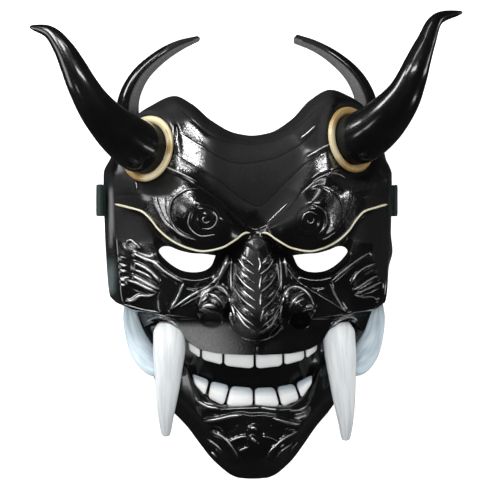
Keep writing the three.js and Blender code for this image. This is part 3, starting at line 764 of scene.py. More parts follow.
@dataclass(frozen=True)
class Fern:
    """The pairs of broad smooth blades down the nose, each with a thin rib below it that is only a painted
    highlight line.

    First is the height where the first pair meets. Blades slope down to the middle and lie a pitch apart.
    """

    first: float = -14.6
    pitch: float = 11.0
    pairs: int = 4
    slope: float = 1.06
    inner: float = 1.8
    reach: float = 11.6
    widen: float = 1.3
    bow: float = 0.8
    half_width: float = 2.3
    rib_drop: float = 5.3
    rib_half_width: float = 0.42
    rib_width: float = 0.8

    def leaf(self, pair: int, side: int, drop: float = 0.0) -> tuple[Pair, Pair, Pair]:
        """Give the middle line of a blade, from the nose's middle outwards, or of the rib a drop below it.

        Args:
            pair: the number of the pair, from 0 at the top.
            side: -1 on the left and 1 on the right.
            drop: how far below the blade the line lies.

        Returns:
            Three points of the line.
        """
        outer = self.reach + self.widen * pair
        level = self.first - self.pitch * pair - drop
        run = outer - self.inner
        middle = (self.inner + run / 2 + self.bow, level + self.slope * (run / 2) - self.bow)
        return tuple((side * x, y) for x,
                     y in ((self.inner, level), middle, (outer, level + self.slope * run)))

    def leaves(self) -> list[tuple[Pair, Pair, Pair]]:
        """Give the middle lines of all blades."""
        return [self.leaf(pair, side.value) for pair in range(self.pairs) for side in Side]

    def ribs(self) -> tuple[Stroke, ...]:
        """Give the ribs, lines of painted highlight."""
        lines = (self.leaf(pair, 1, self.rib_drop) for pair in range(self.pairs))
        return both(*(Stroke(Cut.ROUND, line, self.rib_width, 0, edge=self.rib_half_width) for line in lines))


FERN = Fern()


def diamond(x: Array, y: Array) -> Array:
    """Give how far inside the diamond between the brows each point is, 1 in its middle, under 0 outside."""
    return 1 - np.abs(x) / DIAMOND_HALVES[0] - np.abs(y) / DIAMOND_HALVES[1]


NOSE: tuple[Stroke, ...] = (
    *FERN.ribs(),
    *both(
        Stroke(Cut.CREST, ((15.2, -9.5), (15.8, -17), (15.8, -24.7), (15.5, -31)), 1.7, 1.4, edge=0.55),
        Stroke(Cut.BLADE, ((18.6, -7), (19.4, -14), (20.6, -21), (24, -27)), 2.6, 1.7, 0),
        Stroke(Cut.CREST, ((13.6, -43), (8, -51.6), (0.6, -56.6)), 1.8, 1.4, 0.1, edge=0.5),
        Stroke(Cut.CREST, ((17.4, -52), (12.8, -57.4), (7.6, -60.3), (0.3, -62)), 1.8, 1.3, 0.1, edge=0.4),
    ),
    Stroke(Cut.ROUND, ((-16.6, -43), (-16, -48), (-13.4, -53)), 2.4, 0.9, 0.2, edge=1.3),
    Stroke(Cut.ROUND, ((-17.6, -7), (-19.4, -14), (-23.4, -23.6)), 1.8, 0.4, 0.1, edge=1.5),
    Stroke(Cut.ROUND, ((18.4, -9), (19, -15), (19.6, -22)), 1.2, 0.4, 0.1, edge=0.6),
    *(
        glint(rib, 0.45, 1.0, 0.6, 0.03)
        for rib in (
            ((1.2, -9), (2.2, -13.6), (1, -18.4)),
            ((2.8, -20.4), (1.6, -24.6), (1, -29.4)),
            ((2.2, -31.4), (1.4, -35), (1, -39.4)),
            ((3.2, -41.6), (1.8, -45.4), (1, -49.6)),
        )
    ),
)
NOSTRILS: tuple[Stroke, ...] = (
    *both(
        Stroke(
            Cut.ROUND,
            ((36.6, -41), (35.4, -36.6), (31.6, -30.8), (25.6, -27.8), (20.8, -29.3), (17.8, -34),
             (15.9, -39.4), (14.4, -45.4), (14, -50)),
            3.0, 2.5, 0.06, edge=0.7,
        ),
        Stroke(
            Cut.ROUND,
            ((30.6, -31.8), (26.4, -33.4), (22.9, -37), (20.4, -41.6)),
            1.7, 1.5, 0.15, edge=0.6,
        ),
        Stroke(Cut.ROUND, ((30, -35.2), (26.6, -36.6), (23.6, -39.8)), 1.4, 1.2, 0.2, edge=0.5),
        Stroke(Cut.ROUND, ((35.4, -41.6), (30.4, -40.4), (25.6, -41.4)), 4.2, 3.0, 0.15),
    ),
    Stroke(Cut.ROUND, ((-35, -41), (-30.4, -39.4), (-26.4, -40.6)), 2.4, 0.5, 0.1, edge=1.5),
    Stroke(Cut.ROUND, ((36.4, -41), (33.6, -39.6), (30.4, -40.6)), 2.4, 0.5, 0.1, edge=0.9),
)

# Lines of the lips and chin
LIPS: tuple[Stroke, ...] = (
    Stroke(Cut.GROOVE, ((0.2, -62.6), (-0.4, -66.6), (-0.8, -71)), 1.7, 1.3, 0.1),
    *both(
        Stroke(
            Cut.CREST,
            ((68, -50.3), (64.2, -47.9), (60.4, -47.1), (56, -48.1), (52.2, -50.4), (47.8, -53.8)),
            2.0, 1.2, edge=0.7,
        ),
        Stroke(Cut.CREST, ((62.3, -45), (56, -46.9), (49, -49.2)), 1.6, 0.9, edge=0.5),
        Stroke(Cut.ROUND, ((37.6, -98.6), (32, -102.8), (25, -105.4), (12, -106.6)), 2.2, 1.1),
    ),
    glint(((-37, -100), (-29.7, -103.9), (-23.4, -104.8)), 0.75, 1.4, 0.5),
    glint(((21.4, -106.6), (28, -106), (33.5, -103.4)), 0.6, 1.4, 0.5),
    glint(((-60, -44), (-72, -42), (-84, -38.6)), 0.35, 1.4, 0.4),
    glint(((-21, -105.4), (-10, -104.8), (4, -104.6)), 0.3, 1.4, 0.4),
)
CHIN: tuple[Stroke, ...] = (
    Stroke(
        Cut.STEP,
        ((33, -116.4), (26.9, -114.2), (19.3, -112.8), (11.4, -110.4), (4, -109.4), (-3.1, -109.6),
         (-9, -108.7), (-16.9, -109.5), (-24.3, -111.2), (-33, -112.6)),
        1.8, 1.9, 0.06, 3.6,
    ),
    glint(((-33, -113.2), (-24.3, -111.8), (-16.9, -110), (-8.6, -108.9)), 1.0, 1.4, 0.4),
    glint(((10.6, -111), (19.3, -113.6), (28, -115.4)), 0.8, 1.4, 0.4),
    Stroke(Cut.ROUND, ((-3.4, -117.6), (-1.4, -117), (0.4, -118.2)), 3.0, 1.8, 0, edge=0.8),
    Stroke(Cut.ROUND, ((-3, -123.4), (-1.4, -124.6), (0, -126)), 2.8, 1.6, 0, edge=0.9),
    Stroke(
        Cut.CREST,
        ((-28.6, -119.6), (-22, -122.1), (-17.7, -125.7), (-13.4, -131.6), (-10.6, -136.4)),
        2.2, 1.9, edge=0.6,
    ),
    Stroke(Cut.CREST, ((-16.9, -125.9), (-11.2, -123.2), (-5.5, -122.2)), 1.9, 1.6, edge=0.6),
    Stroke(Cut.CREST, ((-11, -131.8), (-9, -130.8), (-4.6, -128.7)), 1.8, 1.4, edge=0.6),
    Stroke(Cut.CREST, ((-30, -124.6), (-27.9, -125.9), (-23.6, -129.1), (-20, -133)), 1.9, 1.5, edge=0.7),
    Stroke(Cut.CREST, ((-27, -133), (-25.8, -134.1), (-22.8, -136.7)), 1.8, 1.3, edge=0.7),
    Stroke(
        Cut.CREST,
        ((28, -119.4), (20.2, -122.6), (15.1, -125.9), (9.1, -131.7), (6.6, -136.4)),
        2.2, 1.9, edge=0.5,
    ),
    Stroke(Cut.CREST, ((14.8, -126), (9.4, -123.4), (3.4, -122.2)), 1.9, 1.5, edge=0.25),
    Stroke(Cut.CREST, ((24, -127.4), (19.3, -129.9), (16.5, -131.7), (13, -136)), 1.9, 1.5, edge=0.5),
    Stroke(Cut.CREST, ((28.6, -126.6), (25, -130), (22.6, -134)), 1.8, 1.2, edge=0.3),
    Stroke(Cut.GROOVE, ((-12, -112.6), (-14, -117), (-20, -118.6), (-28, -116.6)), 2.4, 1.0),
    Stroke(Cut.GROOVE, ((10, -113), (12, -117.4), (18, -119), (27, -117)), 2.4, 1.0),
)
CARVING: tuple[Stroke, ...] = (
    *FOREHEAD, *SPIRALS, *BROWS, *TEMPLES, *EYES, *CHEEKS, *CHEEK_RIBS, *NOSE, *NOSTRILS, *LIPS, *CHIN,
)


# Placement and mesh making


@dataclass(frozen=True)
class Placement:
    """Where the face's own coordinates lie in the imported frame."""

    offset: Vector

    @classmethod
    def from_frame(cls) -> "Placement":
        """Take the face's middle plane from the upper teeth, and its height from the strap.

        Returns:
            The placement.
        """
        teeth_low, teeth_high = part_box("upper_teeth")
        strap_low, strap_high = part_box("head_strap")
        middle = (teeth_low.x + teeth_high.x) / 2
        level = (strap_low.y + strap_high.y) / 2 - HeadStrap.level * MM
        return cls(Vector((middle, level, 0)))

    def metres(self, points: Array) -> Array:
        """Turn face millimetres into metres in the frame."""
        return np.asarray(points, float) * MM + np.array(self.offset)

    def face(self, points: Array) -> Array:
        """Turn metres in the frame into face millimetres."""
        return (np.asarray(points, float) - np.array(self.offset)) / MM


def choose(*objects: bpy.types.Object) -> None:
    """Select only these objects, the first of them active.

    Args:
        objects: the objects, none to select nothing.
    """
    bpy.ops.object.select_all(action="DESELECT")
    for each in reversed(objects):
        each.select_set(True)
        bpy.context.view_layer.objects.active = each


def added(add: Callable[..., object], **settings: object) -> bpy.types.Object:
    """Add a basic shape, chosen alone, by one of Blender's operators.

    Args:
        add: the operator that adds it.
        settings: the operator's own settings.

    Returns:
        The new object.
    """
    choose()
    add(**settings)
    return bpy.context.object


def edit(piece: bpy.types.Object, *steps: Callable[[], object]) -> None:
    """Run edit-mode steps on all of a piece's mesh.

    Args:
        piece: the mesh object.
        steps: functions that each do one thing in edit mode.
    """
    choose(piece)
    bpy.ops.object.mode_set(mode="EDIT")
    bpy.ops.mesh.select_all(action="SELECT")
    for step in steps:
        step()
    bpy.ops.object.mode_set(mode="OBJECT")


def corners(piece: bpy.types.Object) -> Array:
    """Read the places of a mesh's vertices.

    Args:
        piece: the mesh object.

    Returns:
        One row for each vertex, in the piece's own metres.
    """
    places = np.empty(len(piece.data.vertices) * 3)
    piece.data.vertices.foreach_get("co", places)
    return places.reshape(-1, 3)


def move_corners(piece: bpy.types.Object, places: Array) -> None:
    """Write the places of a mesh's vertices."""
    piece.data.vertices.foreach_set("co", np.asarray(places, np.float32).ravel())
    piece.data.update()


def store_marks(piece: bpy.types.Object, marks: dict[str, Array]) -> None:
    """Store a value of each mark at every corner, for the piece's material to read.

    Args:
        piece: the mesh object.
        marks: the values at the corners, by the mark's name.
    """
    for name, values in marks.items():
        layer = piece.data.attributes.new(name, "FLOAT", "POINT")
        layer.data.foreach_set("value", values.astype(np.float32))


def joined(name: str, *objects: bpy.types.Object) -> bpy.types.Object:
    """Join objects into one, and name it.

    Args:
        name: the new name.
        objects: the objects. The first keeps its place.

    Returns:
        The joined object.
    """
    choose(*objects)
    bpy.ops.object.join()
    piece = bpy.context.object
    piece.name = piece.data.name = name
    return piece


def finish_piece(
    piece: bpy.types.Object, material: bpy.types.Material, node: str = "",
    smooth_angle: float = 40.0
) -> bpy.types.Object:
    """Paint and smooth a piece, put its origin on the frame's and let it ride.

    Args:
        piece: the finished mesh object.
        material: its paint.
        node: the CAD node that it replaces, if any.
        smooth_angle: edges sharper than this many degrees stay crisp.

    Returns:
        The piece.
    """
    piece.data.materials.clear()
    piece.data.materials.append(material)
    choose(piece)
    bpy.ops.object.transform_apply(location=True, rotation=True, scale=True)
    bpy.ops.object.shade_smooth_by_angle(angle=math.radians(smooth_angle))
    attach(piece, BODY)
    if node:
        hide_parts(node)
    return piece


def grid(name: str, rows: int, columns: int) -> tuple[bpy.types.Object, Array, Array]:
    """Add a flat grid to be shaped.

    Args:
        name: the object's name.
        rows: faces along y.
        columns: faces along x.

    Returns:
        The object, and each vertex's place along rows and columns, 0 to 1.
    """
    add = bpy.ops.mesh.primitive_grid_add
    piece = added(add, x_subdivisions=columns, y_subdivisions=rows, size=1, calc_uvs=True)
    piece.name = piece.data.name = name
    flat = corners(piece)
    return piece, flat[:, 1] + 0.5, flat[:, 0] + 0.5


def sweep(
    name: str, path: Array, across: Array, deep: Array, section: Array, place: Placement
) -> bpy.types.Object:
    """Sweep a closed section along a path into a closed piece.

    Args:
        name: the piece's name.
        path: one point for each step, in face millimetres.
        across: one vector for each step, as long as the section's half width.
        deep: one vector for each step, as long as the section's half depth.
        section: the section's own points, each (across, deep), the last equal to the first.
        place: where the face lies in the frame.

    Returns:
        The piece, with a UV map that runs round the section in u and along the path in v.
    """
    steps, around = len(path) - 1, len(section) - 1
    piece, along, round_it = grid(name, steps, around)
    s = np.rint(along * steps).astype(int)
    k = np.rint(round_it * around).astype(int)
    places = path[s] + across[s] * section[k, :1] + deep[s] * section[k, 1:]
    move_corners(piece, place.metres(places))
    edit(
        piece,
        lambda: bpy.ops.mesh.remove_doubles(threshold=MERGE),
        lambda: bpy.ops.mesh.select_all(action="DESELECT"),
        lambda: bpy.ops.mesh.select_non_manifold(),
        lambda: bpy.ops.mesh.fill_holes(sides=0) if piece.data.total_edge_sel else None,
        lambda: bpy.ops.mesh.select_all(action="SELECT"),
        lambda: bpy.ops.mesh.normals_make_consistent(inside=False),
    )
    return piece


def ring_section(sides: int, power: float = 2.0) -> Array:
    """Give a closed round section, squarer for a higher power.

    Args:
        sides: the number of its sides.
        power: 2 for an ellipse, more for a squarer one.

    Returns:
        Its points, each (across, deep), the last equal to the first.
    """
    angle = np.linspace(0, 2 * math.pi, sides + 1)
    c, s = np.cos(angle), np.sin(angle)
    return np.column_stack([np.sign(c) * np.abs(c) ** (2 / power), np.sign(s) * np.abs(s) ** (2 / power)])


@dataclass(frozen=True)
class Taper:
    """A solid that follows a curved path and closes at both ends, such as a horn or a fang."""

    path: tuple[Place, ...]
    radius: Profile
    side: Place
    steps: int
    sides: int
    flat: float = 1.0

    def build(self, name: str, place: Placement) -> bpy.types.Object:
        """Make the solid.

        Args:
            name: the piece's name.
            place: where the face lies in the frame.

        Returns:
            The piece.
        """
        t = np.linspace(0, 1, self.steps + 1)
        centre = spline(self.path, t)
        along = np.gradient(centre, axis=0)
        along /= np.linalg.norm(along, axis=1)[:, None]
        side = np.array(self.side, float)
        across = side - along * (along @ side)[:, None]
        across /= np.linalg.norm(across, axis=1)[:, None]
        deep = np.cross(along, across)
        radius = self.radius(t)
        radius[[0, -1]] = 0
        across, deep = across * radius[:, None], deep * radius[:, None] * self.flat
        return sweep(name, centre, across, deep, ring_section(self.sides), place)


# Finishes


class Nodes:
    """A short way to lay out shader nodes in a tree."""

    def __init__(self, tree: bpy.types.NodeTree) -> None:
        """Keep the tree."""
        self.tree = tree

    def add(self, kind: str, inputs: dict | None = None, **settings: object) -> bpy.types.Node:
        """Add a node.

        Args:
            kind: the node's type.
            inputs: a value, or an output socket to link, for each input by name or number.
            settings: the node's own properties.

        Returns:
            The node.
        """
        node = self.tree.nodes.new(kind)
        for name, value in settings.items():
            setattr(node, name, value)
        self.feed(node, inputs or {})
        return node

    def feed(self, node: bpy.types.Node, inputs: dict) -> None:
        """Set or link inputs of a node, each to a value or an output socket.

        Args:
            node: the node.
            inputs: a value or an output socket for each input, by name or number.
        """
        for name, value in inputs.items():
            if isinstance(value, bpy.types.NodeSocket):
                self.tree.links.new(value, node.inputs[name])
            else:
                node.inputs[name].default_value = value

    def math(self, operation: str, *values: object, clamp: bool = False) -> bpy.types.NodeSocket:
        """Work out one number from others."""
        node = self.add("ShaderNodeMath", dict(enumerate(values)), operation=operation, use_clamp=clamp)
        return node.outputs[0]

    def between(self, value: object, low: float, high: float) -> bpy.types.NodeSocket:
        """Go smoothly from 0 to 1 as a value goes from low to high."""
        inputs = {"Value": value, "From Min": low, "From Max": high}
        return self.add("ShaderNodeMapRange", inputs, interpolation_type="SMOOTHSTEP").outputs["Result"]

    def blend(self, share: object, a: object, b: object) -> bpy.types.NodeSocket:
        """Mix two colours."""
        return self.add("ShaderNodeMix", {0: share, 6: a, 7: b}, data_type="RGBA").outputs[2]

    def place(self, kind: str = "Object") -> bpy.types.NodeSocket:
        """Give the piece's own Object or UV coordinates."""
        return self.add("ShaderNodeTexCoord").outputs[kind]

    def noise(self, place: object, scale: object, detail: float = 2.0) -> bpy.types.NodeSocket:
        """Give a soft noise."""
        return self.add("ShaderNodeTexNoise", {"Vector": place, "Scale": scale, "Detail": detail}).outputs[0]

    def bump(self, height: object, strength: float, depth: float) -> bpy.types.NodeSocket:
        """Turn a height into a normal, for a relief this many metres deep."""
        inputs = {"Height": height, "Strength": strength, "Distance": depth}
        return self.add("ShaderNodeBump", inputs).outputs[0]

    def attribute(self, name: str) -> bpy.types.NodeSocket:
        """Read a number that the mesh holds at each vertex."""
        return self.add("ShaderNodeAttribute", attribute_name=name, attribute_type="GEOMETRY").outputs["Fac"]


def grey(level: float) -> Colour:
    """Give a neutral colour."""
    return (level, level, level, 1)


class SharedGroup:
    """Base of the effects that several finishes use, each one node group that is built once."""

    name = ""
    inputs: dict[str, float] = {}
    outputs: tuple[str, ...] = ()

    @classmethod
    def tree(cls) -> bpy.types.NodeTree:
        """Give the group's tree, built on first use.

        Returns:
            The node tree.
        """
        tree = bpy.data.node_groups.get(cls.name)
        if tree is None:
            tree = bpy.data.node_groups.new(cls.name, "ShaderNodeTree")
            for name, value in cls.inputs.items():
                socket = tree.interface.new_socket(name, in_out="INPUT", socket_type="NodeSocketFloat")
                socket.default_value = value
            for name in cls.outputs:
                tree.interface.new_socket(name, in_out="OUTPUT", socket_type="NodeSocketFloat")
            nodes = Nodes(tree)
            sources = nodes.add("NodeGroupInput").outputs
            results = cls.lay_out(nodes, {name: sources[name] for name in cls.inputs})
            nodes.add("NodeGroupOutput", results)
        return tree

    @classmethod
    def place(cls, nodes: Nodes, **values: float) -> Sockets:
        """Place the group in a material.

        Args:
            nodes: the material's nodes.
            values: values for its inputs, with underscores for spaces.

        Returns:
            Its outputs by name.
        """
        node = nodes.add("ShaderNodeGroup", node_tree=cls.tree())
        nodes.feed(node, {name.replace("_", " "): value for name, value in values.items()})
        return {name: node.outputs[name] for name in cls.outputs}

    @classmethod
    def lay_out(cls, nodes: Nodes, inputs: Sockets) -> Sockets:
        """Lay out the group's nodes and give its outputs."""
        raise NotImplementedError


class OrangePeel(SharedGroup):
    """Thick sprayed paint: a soft unevenness with little pits and specks."""

    name = "Orange peel"
    inputs = {"Ripples per metre": 380.0, "Specks per metre": 1700.0}
    outputs = ("Height", "Specks", "Patches")
    patches_per_metre = 34.0
    speck_edge = (0.25, 0.6)
    patch_edge = (0.4, 0.62)
    grain_share = 0.4

    @classmethod
    def lay_out(cls, nodes: Nodes, inputs: Sockets) -> Sockets:
        """Lay out the group's nodes and give its outputs.

        Args:
            nodes: the group's nodes.
            inputs: the group's inputs by name.

        Returns:
            Its outputs by name.
        """
        place, fine = nodes.place(), inputs["Specks per metre"]
        specks = nodes.add("ShaderNodeTexVoronoi", {"Vector": place, "Scale": fine}, feature="SMOOTH_F1")
        ripples = nodes.noise(place, inputs["Ripples per metre"], 3.0)
        return {
            "Height": nodes.math("MULTIPLY_ADD", nodes.noise(place, fine), cls.grain_share, ripples),
            "Specks": nodes.between(specks.outputs["Distance"], *cls.speck_edge),
            "Patches": nodes.between(nodes.noise(place, cls.patches_per_metre), *cls.patch_edge),
        }


class Streaks(SharedGroup):
    """Brush streaks that run along v of the piece's own UV map."""

    name = "Streaks"
    inputs = {"Lines": 40.0, "Length": 2.2}
    outputs = ("Streaks", "Along", "Height")
    streak_edge = (0.36, 0.66)

    @classmethod
    def lay_out(cls, nodes: Nodes, inputs: Sockets) -> Sockets:
        """Lay out the group's nodes and give its outputs.

        Args:
            nodes: the group's nodes.
            inputs: the group's inputs by name.

        Returns:
            Its outputs by name.
        """
        parts = nodes.add("ShaderNodeSeparateXYZ", {0: nodes.place("UV")})
        turn = nodes.math("MULTIPLY", parts.outputs["X"], 2 * math.pi)
        radius = nodes.math("DIVIDE", inputs["Lines"], 2 * math.pi)
        wrapped = nodes.add(
            "ShaderNodeCombineXYZ",
            {
                "X": nodes.math("MULTIPLY", nodes.math("COSINE", turn), radius),
                "Y": nodes.math("MULTIPLY", nodes.math("SINE", turn), radius),
                "Z": nodes.math("MULTIPLY", parts.outputs["Y"], inputs["Length"]),
            },
        ).outputs[0]
        return {
            "Streaks": nodes.between(nodes.noise(wrapped, 1.0, 4.0), *cls.streak_edge),
            "Along": parts.outputs["Y"],
            "Height": nodes.noise(wrapped, 3.0),
        }


def start_material(name: str) -> tuple[bpy.types.Material, Nodes, bpy.types.Node]:
    """Make a material with only its shader and output.

    Args:
        name: the material's name.

    Returns:
        The material, its nodes and its Principled shader.
    """
    material = bpy.data.materials.new(name)
    material.use_nodes = True
    material.node_tree.nodes.clear()
    nodes = Nodes(material.node_tree)
    shader = nodes.add("ShaderNodeBsdfPrincipled")
    nodes.add("ShaderNodeOutputMaterial", {"Surface": shader.outputs[0]})
    return material, nodes, shader


@dataclass(frozen=True)
class BlackLacquer:
    """Thick glossy black paint on moulded rubber.

    Gloss, satin and dull are roughnesses. A marked piece stores at its corners how far each place is satin,
    which is also painted lighter grey as a sheen; bare; grey, which holds the arms' bare inner faces and a
    painted highlight line down the left flap; dull; or in a highlight patch, where light grey metallic flecks
    stand in for specks of highlight (see ShellMarks).
    """

    name: str
    base: float = 0.003
    mottle: float = 1.7
    gloss: float = 0.14
    satin: float = 0.5
    dull: float = 0.66
    speck_rough: float = 0.07
    speckle_rough: float = 0.12
    index: float = 1.5
    coat: float = 0.8
    coat_rough: float = 0.08
    coat_loss: float = 2.0
    metal: float = 0.0
    # grey of the metallic flecks that paint in specks of highlight
    highlight_flake_grey: float = 0.36
    flake_thin: float = -0.55
    flake_edge: Pair = (0.1, 0.3)
    grain: Pair = (0.25, 0.75)
    # painted sheen: the lighter grey that satin places are painted
    painted_sheen_grey: float = 0.16
    band_grey: float = 0.15
    rubber: Colour = (0.10, 0.135, 0.135, 1)
    specks: float = 1000.0
    ripple: float = 0.22
    speckle_ripple: float = 1.4
    relief: Pair = (0.6, 0.0003)
    marked: bool = False

    def material(self) -> bpy.types.Material:
        """Make the material.

        Returns:
            The material.
        """
        material, nodes, shader = start_material(self.name)
        peel = OrangePeel.place(nodes, Specks_per_metre=self.specks)
        colour = nodes.blend(peel["Patches"], grey(self.base), grey(self.base * self.mottle))
        rough = nodes.math("MULTIPLY_ADD", peel["Specks"], self.speck_rough, self.gloss)
        ripple, metal, coat = self.ripple, self.metal, self.coat
        if self.marked:
            satin, bare, band, dull, speckle = (nodes.attribute(name) for name in ShellMarks.names)
            grain = nodes.math("MULTIPLY_ADD", peel["Specks"], *self.grain)
            ripple = nodes.math("MULTIPLY_ADD", speckle, self.speckle_ripple, self.ripple)
            # painted highlight: in the highlight patches, light grey metallic flecks stand in for specks of
            # highlight
            highlight_flakes = nodes.math("MULTIPLY_ADD", peel["Specks"], self.flake_thin, speckle)
            metal = nodes.between(highlight_flakes, *self.flake_edge)
            colour = nodes.blend(metal, colour, grey(self.highlight_flake_grey))
            colour = nodes.blend(bare, colour, self.rubber)
            # painted sheen: satin places turn lighter grey
            colour = nodes.blend(nodes.math("MULTIPLY", satin, grain), colour, grey(self.painted_sheen_grey))
            # the arms' bare inner faces, and a painted highlight line down the left flap, turn grey
            colour = nodes.blend(nodes.math("MULTIPLY", band, grain), colour, grey(self.band_grey))
            painted = nodes.math("MAXIMUM", nodes.math("MAXIMUM", satin, bare), band)
            for mark, more in (
                (painted, self.satin - self.gloss), (dull, self.dull - self.gloss),
                (speckle, self.speckle_rough)
            ):
                rough = nodes.math("MULTIPLY_ADD", mark, more, rough)
            matt = nodes.math("MAXIMUM", painted, dull)
            coat = nodes.math("MULTIPLY_ADD", matt, -self.coat_loss * self.coat, self.coat, clamp=True)
        height = nodes.math("MULTIPLY", peel["Height"], ripple)
        nodes.feed(
            shader,
            {
                "Base Color": colour, "Roughness": rough, "Metallic": metal, "IOR": self.index,
                "Coat Weight": coat,
                "Coat Roughness": self.coat_rough, "Normal": nodes.bump(height, *self.relief),
            },
        )
        return material


@dataclass(frozen=True)
class OldGold:
    """Brushed old gold paint on the horn rings, paler where it is rubbed."""

    name: str = "old_gold"
    deep: Colour = (0.40, 0.24, 0.07, 1)
    pale: Colour = (1.0, 0.88, 0.56, 1)
    metal: float = 0.3
    rubbed_edge: Pair = (0.3, 0.66)
    rough: Pair = (0.18, 0.32)
    relief: Pair = (0.4, 0.0002)

    def material(self) -> bpy.types.Material:
        """Make the material.

        Returns:
            The material.
        """
        material, nodes, shader = start_material(self.name)
        streaks = Streaks.place(nodes, Lines=60.0, Length=5.0)
        peel = OrangePeel.place(nodes, Ripples_per_metre=420.0, Specks_per_metre=1800.0)
        half_streaks = nodes.math("MULTIPLY", streaks["Streaks"], 0.5)
        rubbed = nodes.math("MULTIPLY_ADD", peel["Patches"], 0.5, half_streaks)
        nodes.feed(
            shader,
            {
                "Base Color": nodes.blend(nodes.between(rubbed, *self.rubbed_edge), self.deep, self.pale),
                "Roughness": nodes.math("MULTIPLY_ADD", streaks["Streaks"], *self.rough),
                "Metallic": self.metal,
                "Normal": nodes.bump(streaks["Height"], *self.relief),
            },
        )
        return material


@dataclass(frozen=True)
class PaintedTooth:
    """White paint on fangs, tusks and teeth, with grey streaks along them and shade at chosen ends."""

    name: str
    white: Colour = (0.80, 0.83, 0.84, 1)
    grey_blue: Colour = (0.33, 0.38, 0.42, 1)
    streak: float = 0.5
    dark_tip: float = 0.0
    tip_along: Pair = (0.72, 1.0)
    mottle: float = 0.4
    speck_rough: float = 0.12
    rough: float = 0.34
    uv_streaks: bool = True
    relief: Pair = (0.35, 0.0003)

    def material(self) -> bpy.types.Material:
        """Make the material.

        Returns:
            The material.
        """
        material, nodes, shader = start_material(self.name)
        peel = OrangePeel.place(nodes, Ripples_per_metre=300.0, Specks_per_metre=1400.0)
        height = peel["Height"]
        if self.uv_streaks:
            streaks = Streaks.place(nodes, Lines=17.0, Length=3.4)
            shade = nodes.math("MULTIPLY", streaks["Streaks"], self.streak)
            tip = nodes.math("MULTIPLY", nodes.between(streaks["Along"], *self.tip_along), self.dark_tip)
            shade = nodes.math("ADD", shade, tip, clamp=True)
            height = streaks["Height"]
        else:
            mottle = nodes.math("MULTIPLY", peel["Patches"], self.streak * self.mottle)
            shade = nodes.math("ADD", mottle, nodes.attribute("shade"), clamp=True)
        nodes.feed(
            shader,
            {
                "Base Color": nodes.blend(shade, self.white, self.grey_blue),
                "Roughness": nodes.math("MULTIPLY_ADD", peel["Specks"], self.speck_rough, self.rough),
                "Normal": nodes.bump(height, *self.relief),
            },
        )
        return material


@dataclass(frozen=True)
class WovenElastic:
    """Flat woven elastic, dark green-black, ribbed across its length."""

    name: str = "woven_elastic"
    dark: Colour = (0.012, 0.022, 0.020, 1)
    light: Colour = (0.040, 0.062, 0.056, 1)
    ribs: float = 230.0
    threads: float = 14.0
    rough: float = 0.85
    fuzz: float = 900.0
    fuzz_share: float = 0.4
    weave: Pair = (0.25, 0.5)
    relief: Pair = (0.6, 0.0004)

    def material(self) -> bpy.types.Material:
        """Make the material.

        Returns:
            The material.
        """
        material, nodes, shader = start_material(self.name)
        parts = nodes.add("ShaderNodeSeparateXYZ", {0: nodes.place("UV")})
        rib = nodes.math("SINE", nodes.math("MULTIPLY", parts.outputs["Y"], self.ribs * 2 * math.pi))
        thread = nodes.math("SINE", nodes.math("MULTIPLY", parts.outputs["X"], self.threads * 4 * math.pi))
        weave = nodes.math("MULTIPLY_ADD", nodes.math("MULTIPLY", rib, thread), *self.weave)
        fuzz = nodes.math("ADD", nodes.noise(nodes.place(), self.fuzz), self.fuzz_share)
        colour = nodes.blend(nodes.math("MULTIPLY", weave, fuzz, clamp=True), self.dark, self.light)
        normal = nodes.bump(weave, *self.relief)
        nodes.feed(shader, {"Base Color": colour, "Roughness": self.rough, "Normal": normal})
        return material


# The face surface and the lines on it


@dataclass(frozen=True)
class Dome:
    """A rounded swelling on each side of the face's middle."""

    centre: Pair
    radii: Pair
    height: float
    power: float = 1.5

    def at(self, x: Array, y: Array) -> Array:
        """Give its height at each place."""
        away = np.hypot((np.abs(x) - self.centre[0]) / self.radii[0], (y - self.centre[1]) / self.radii[1])
        return self.height * np.clip(1 - away**2, 0, 1) ** self.power


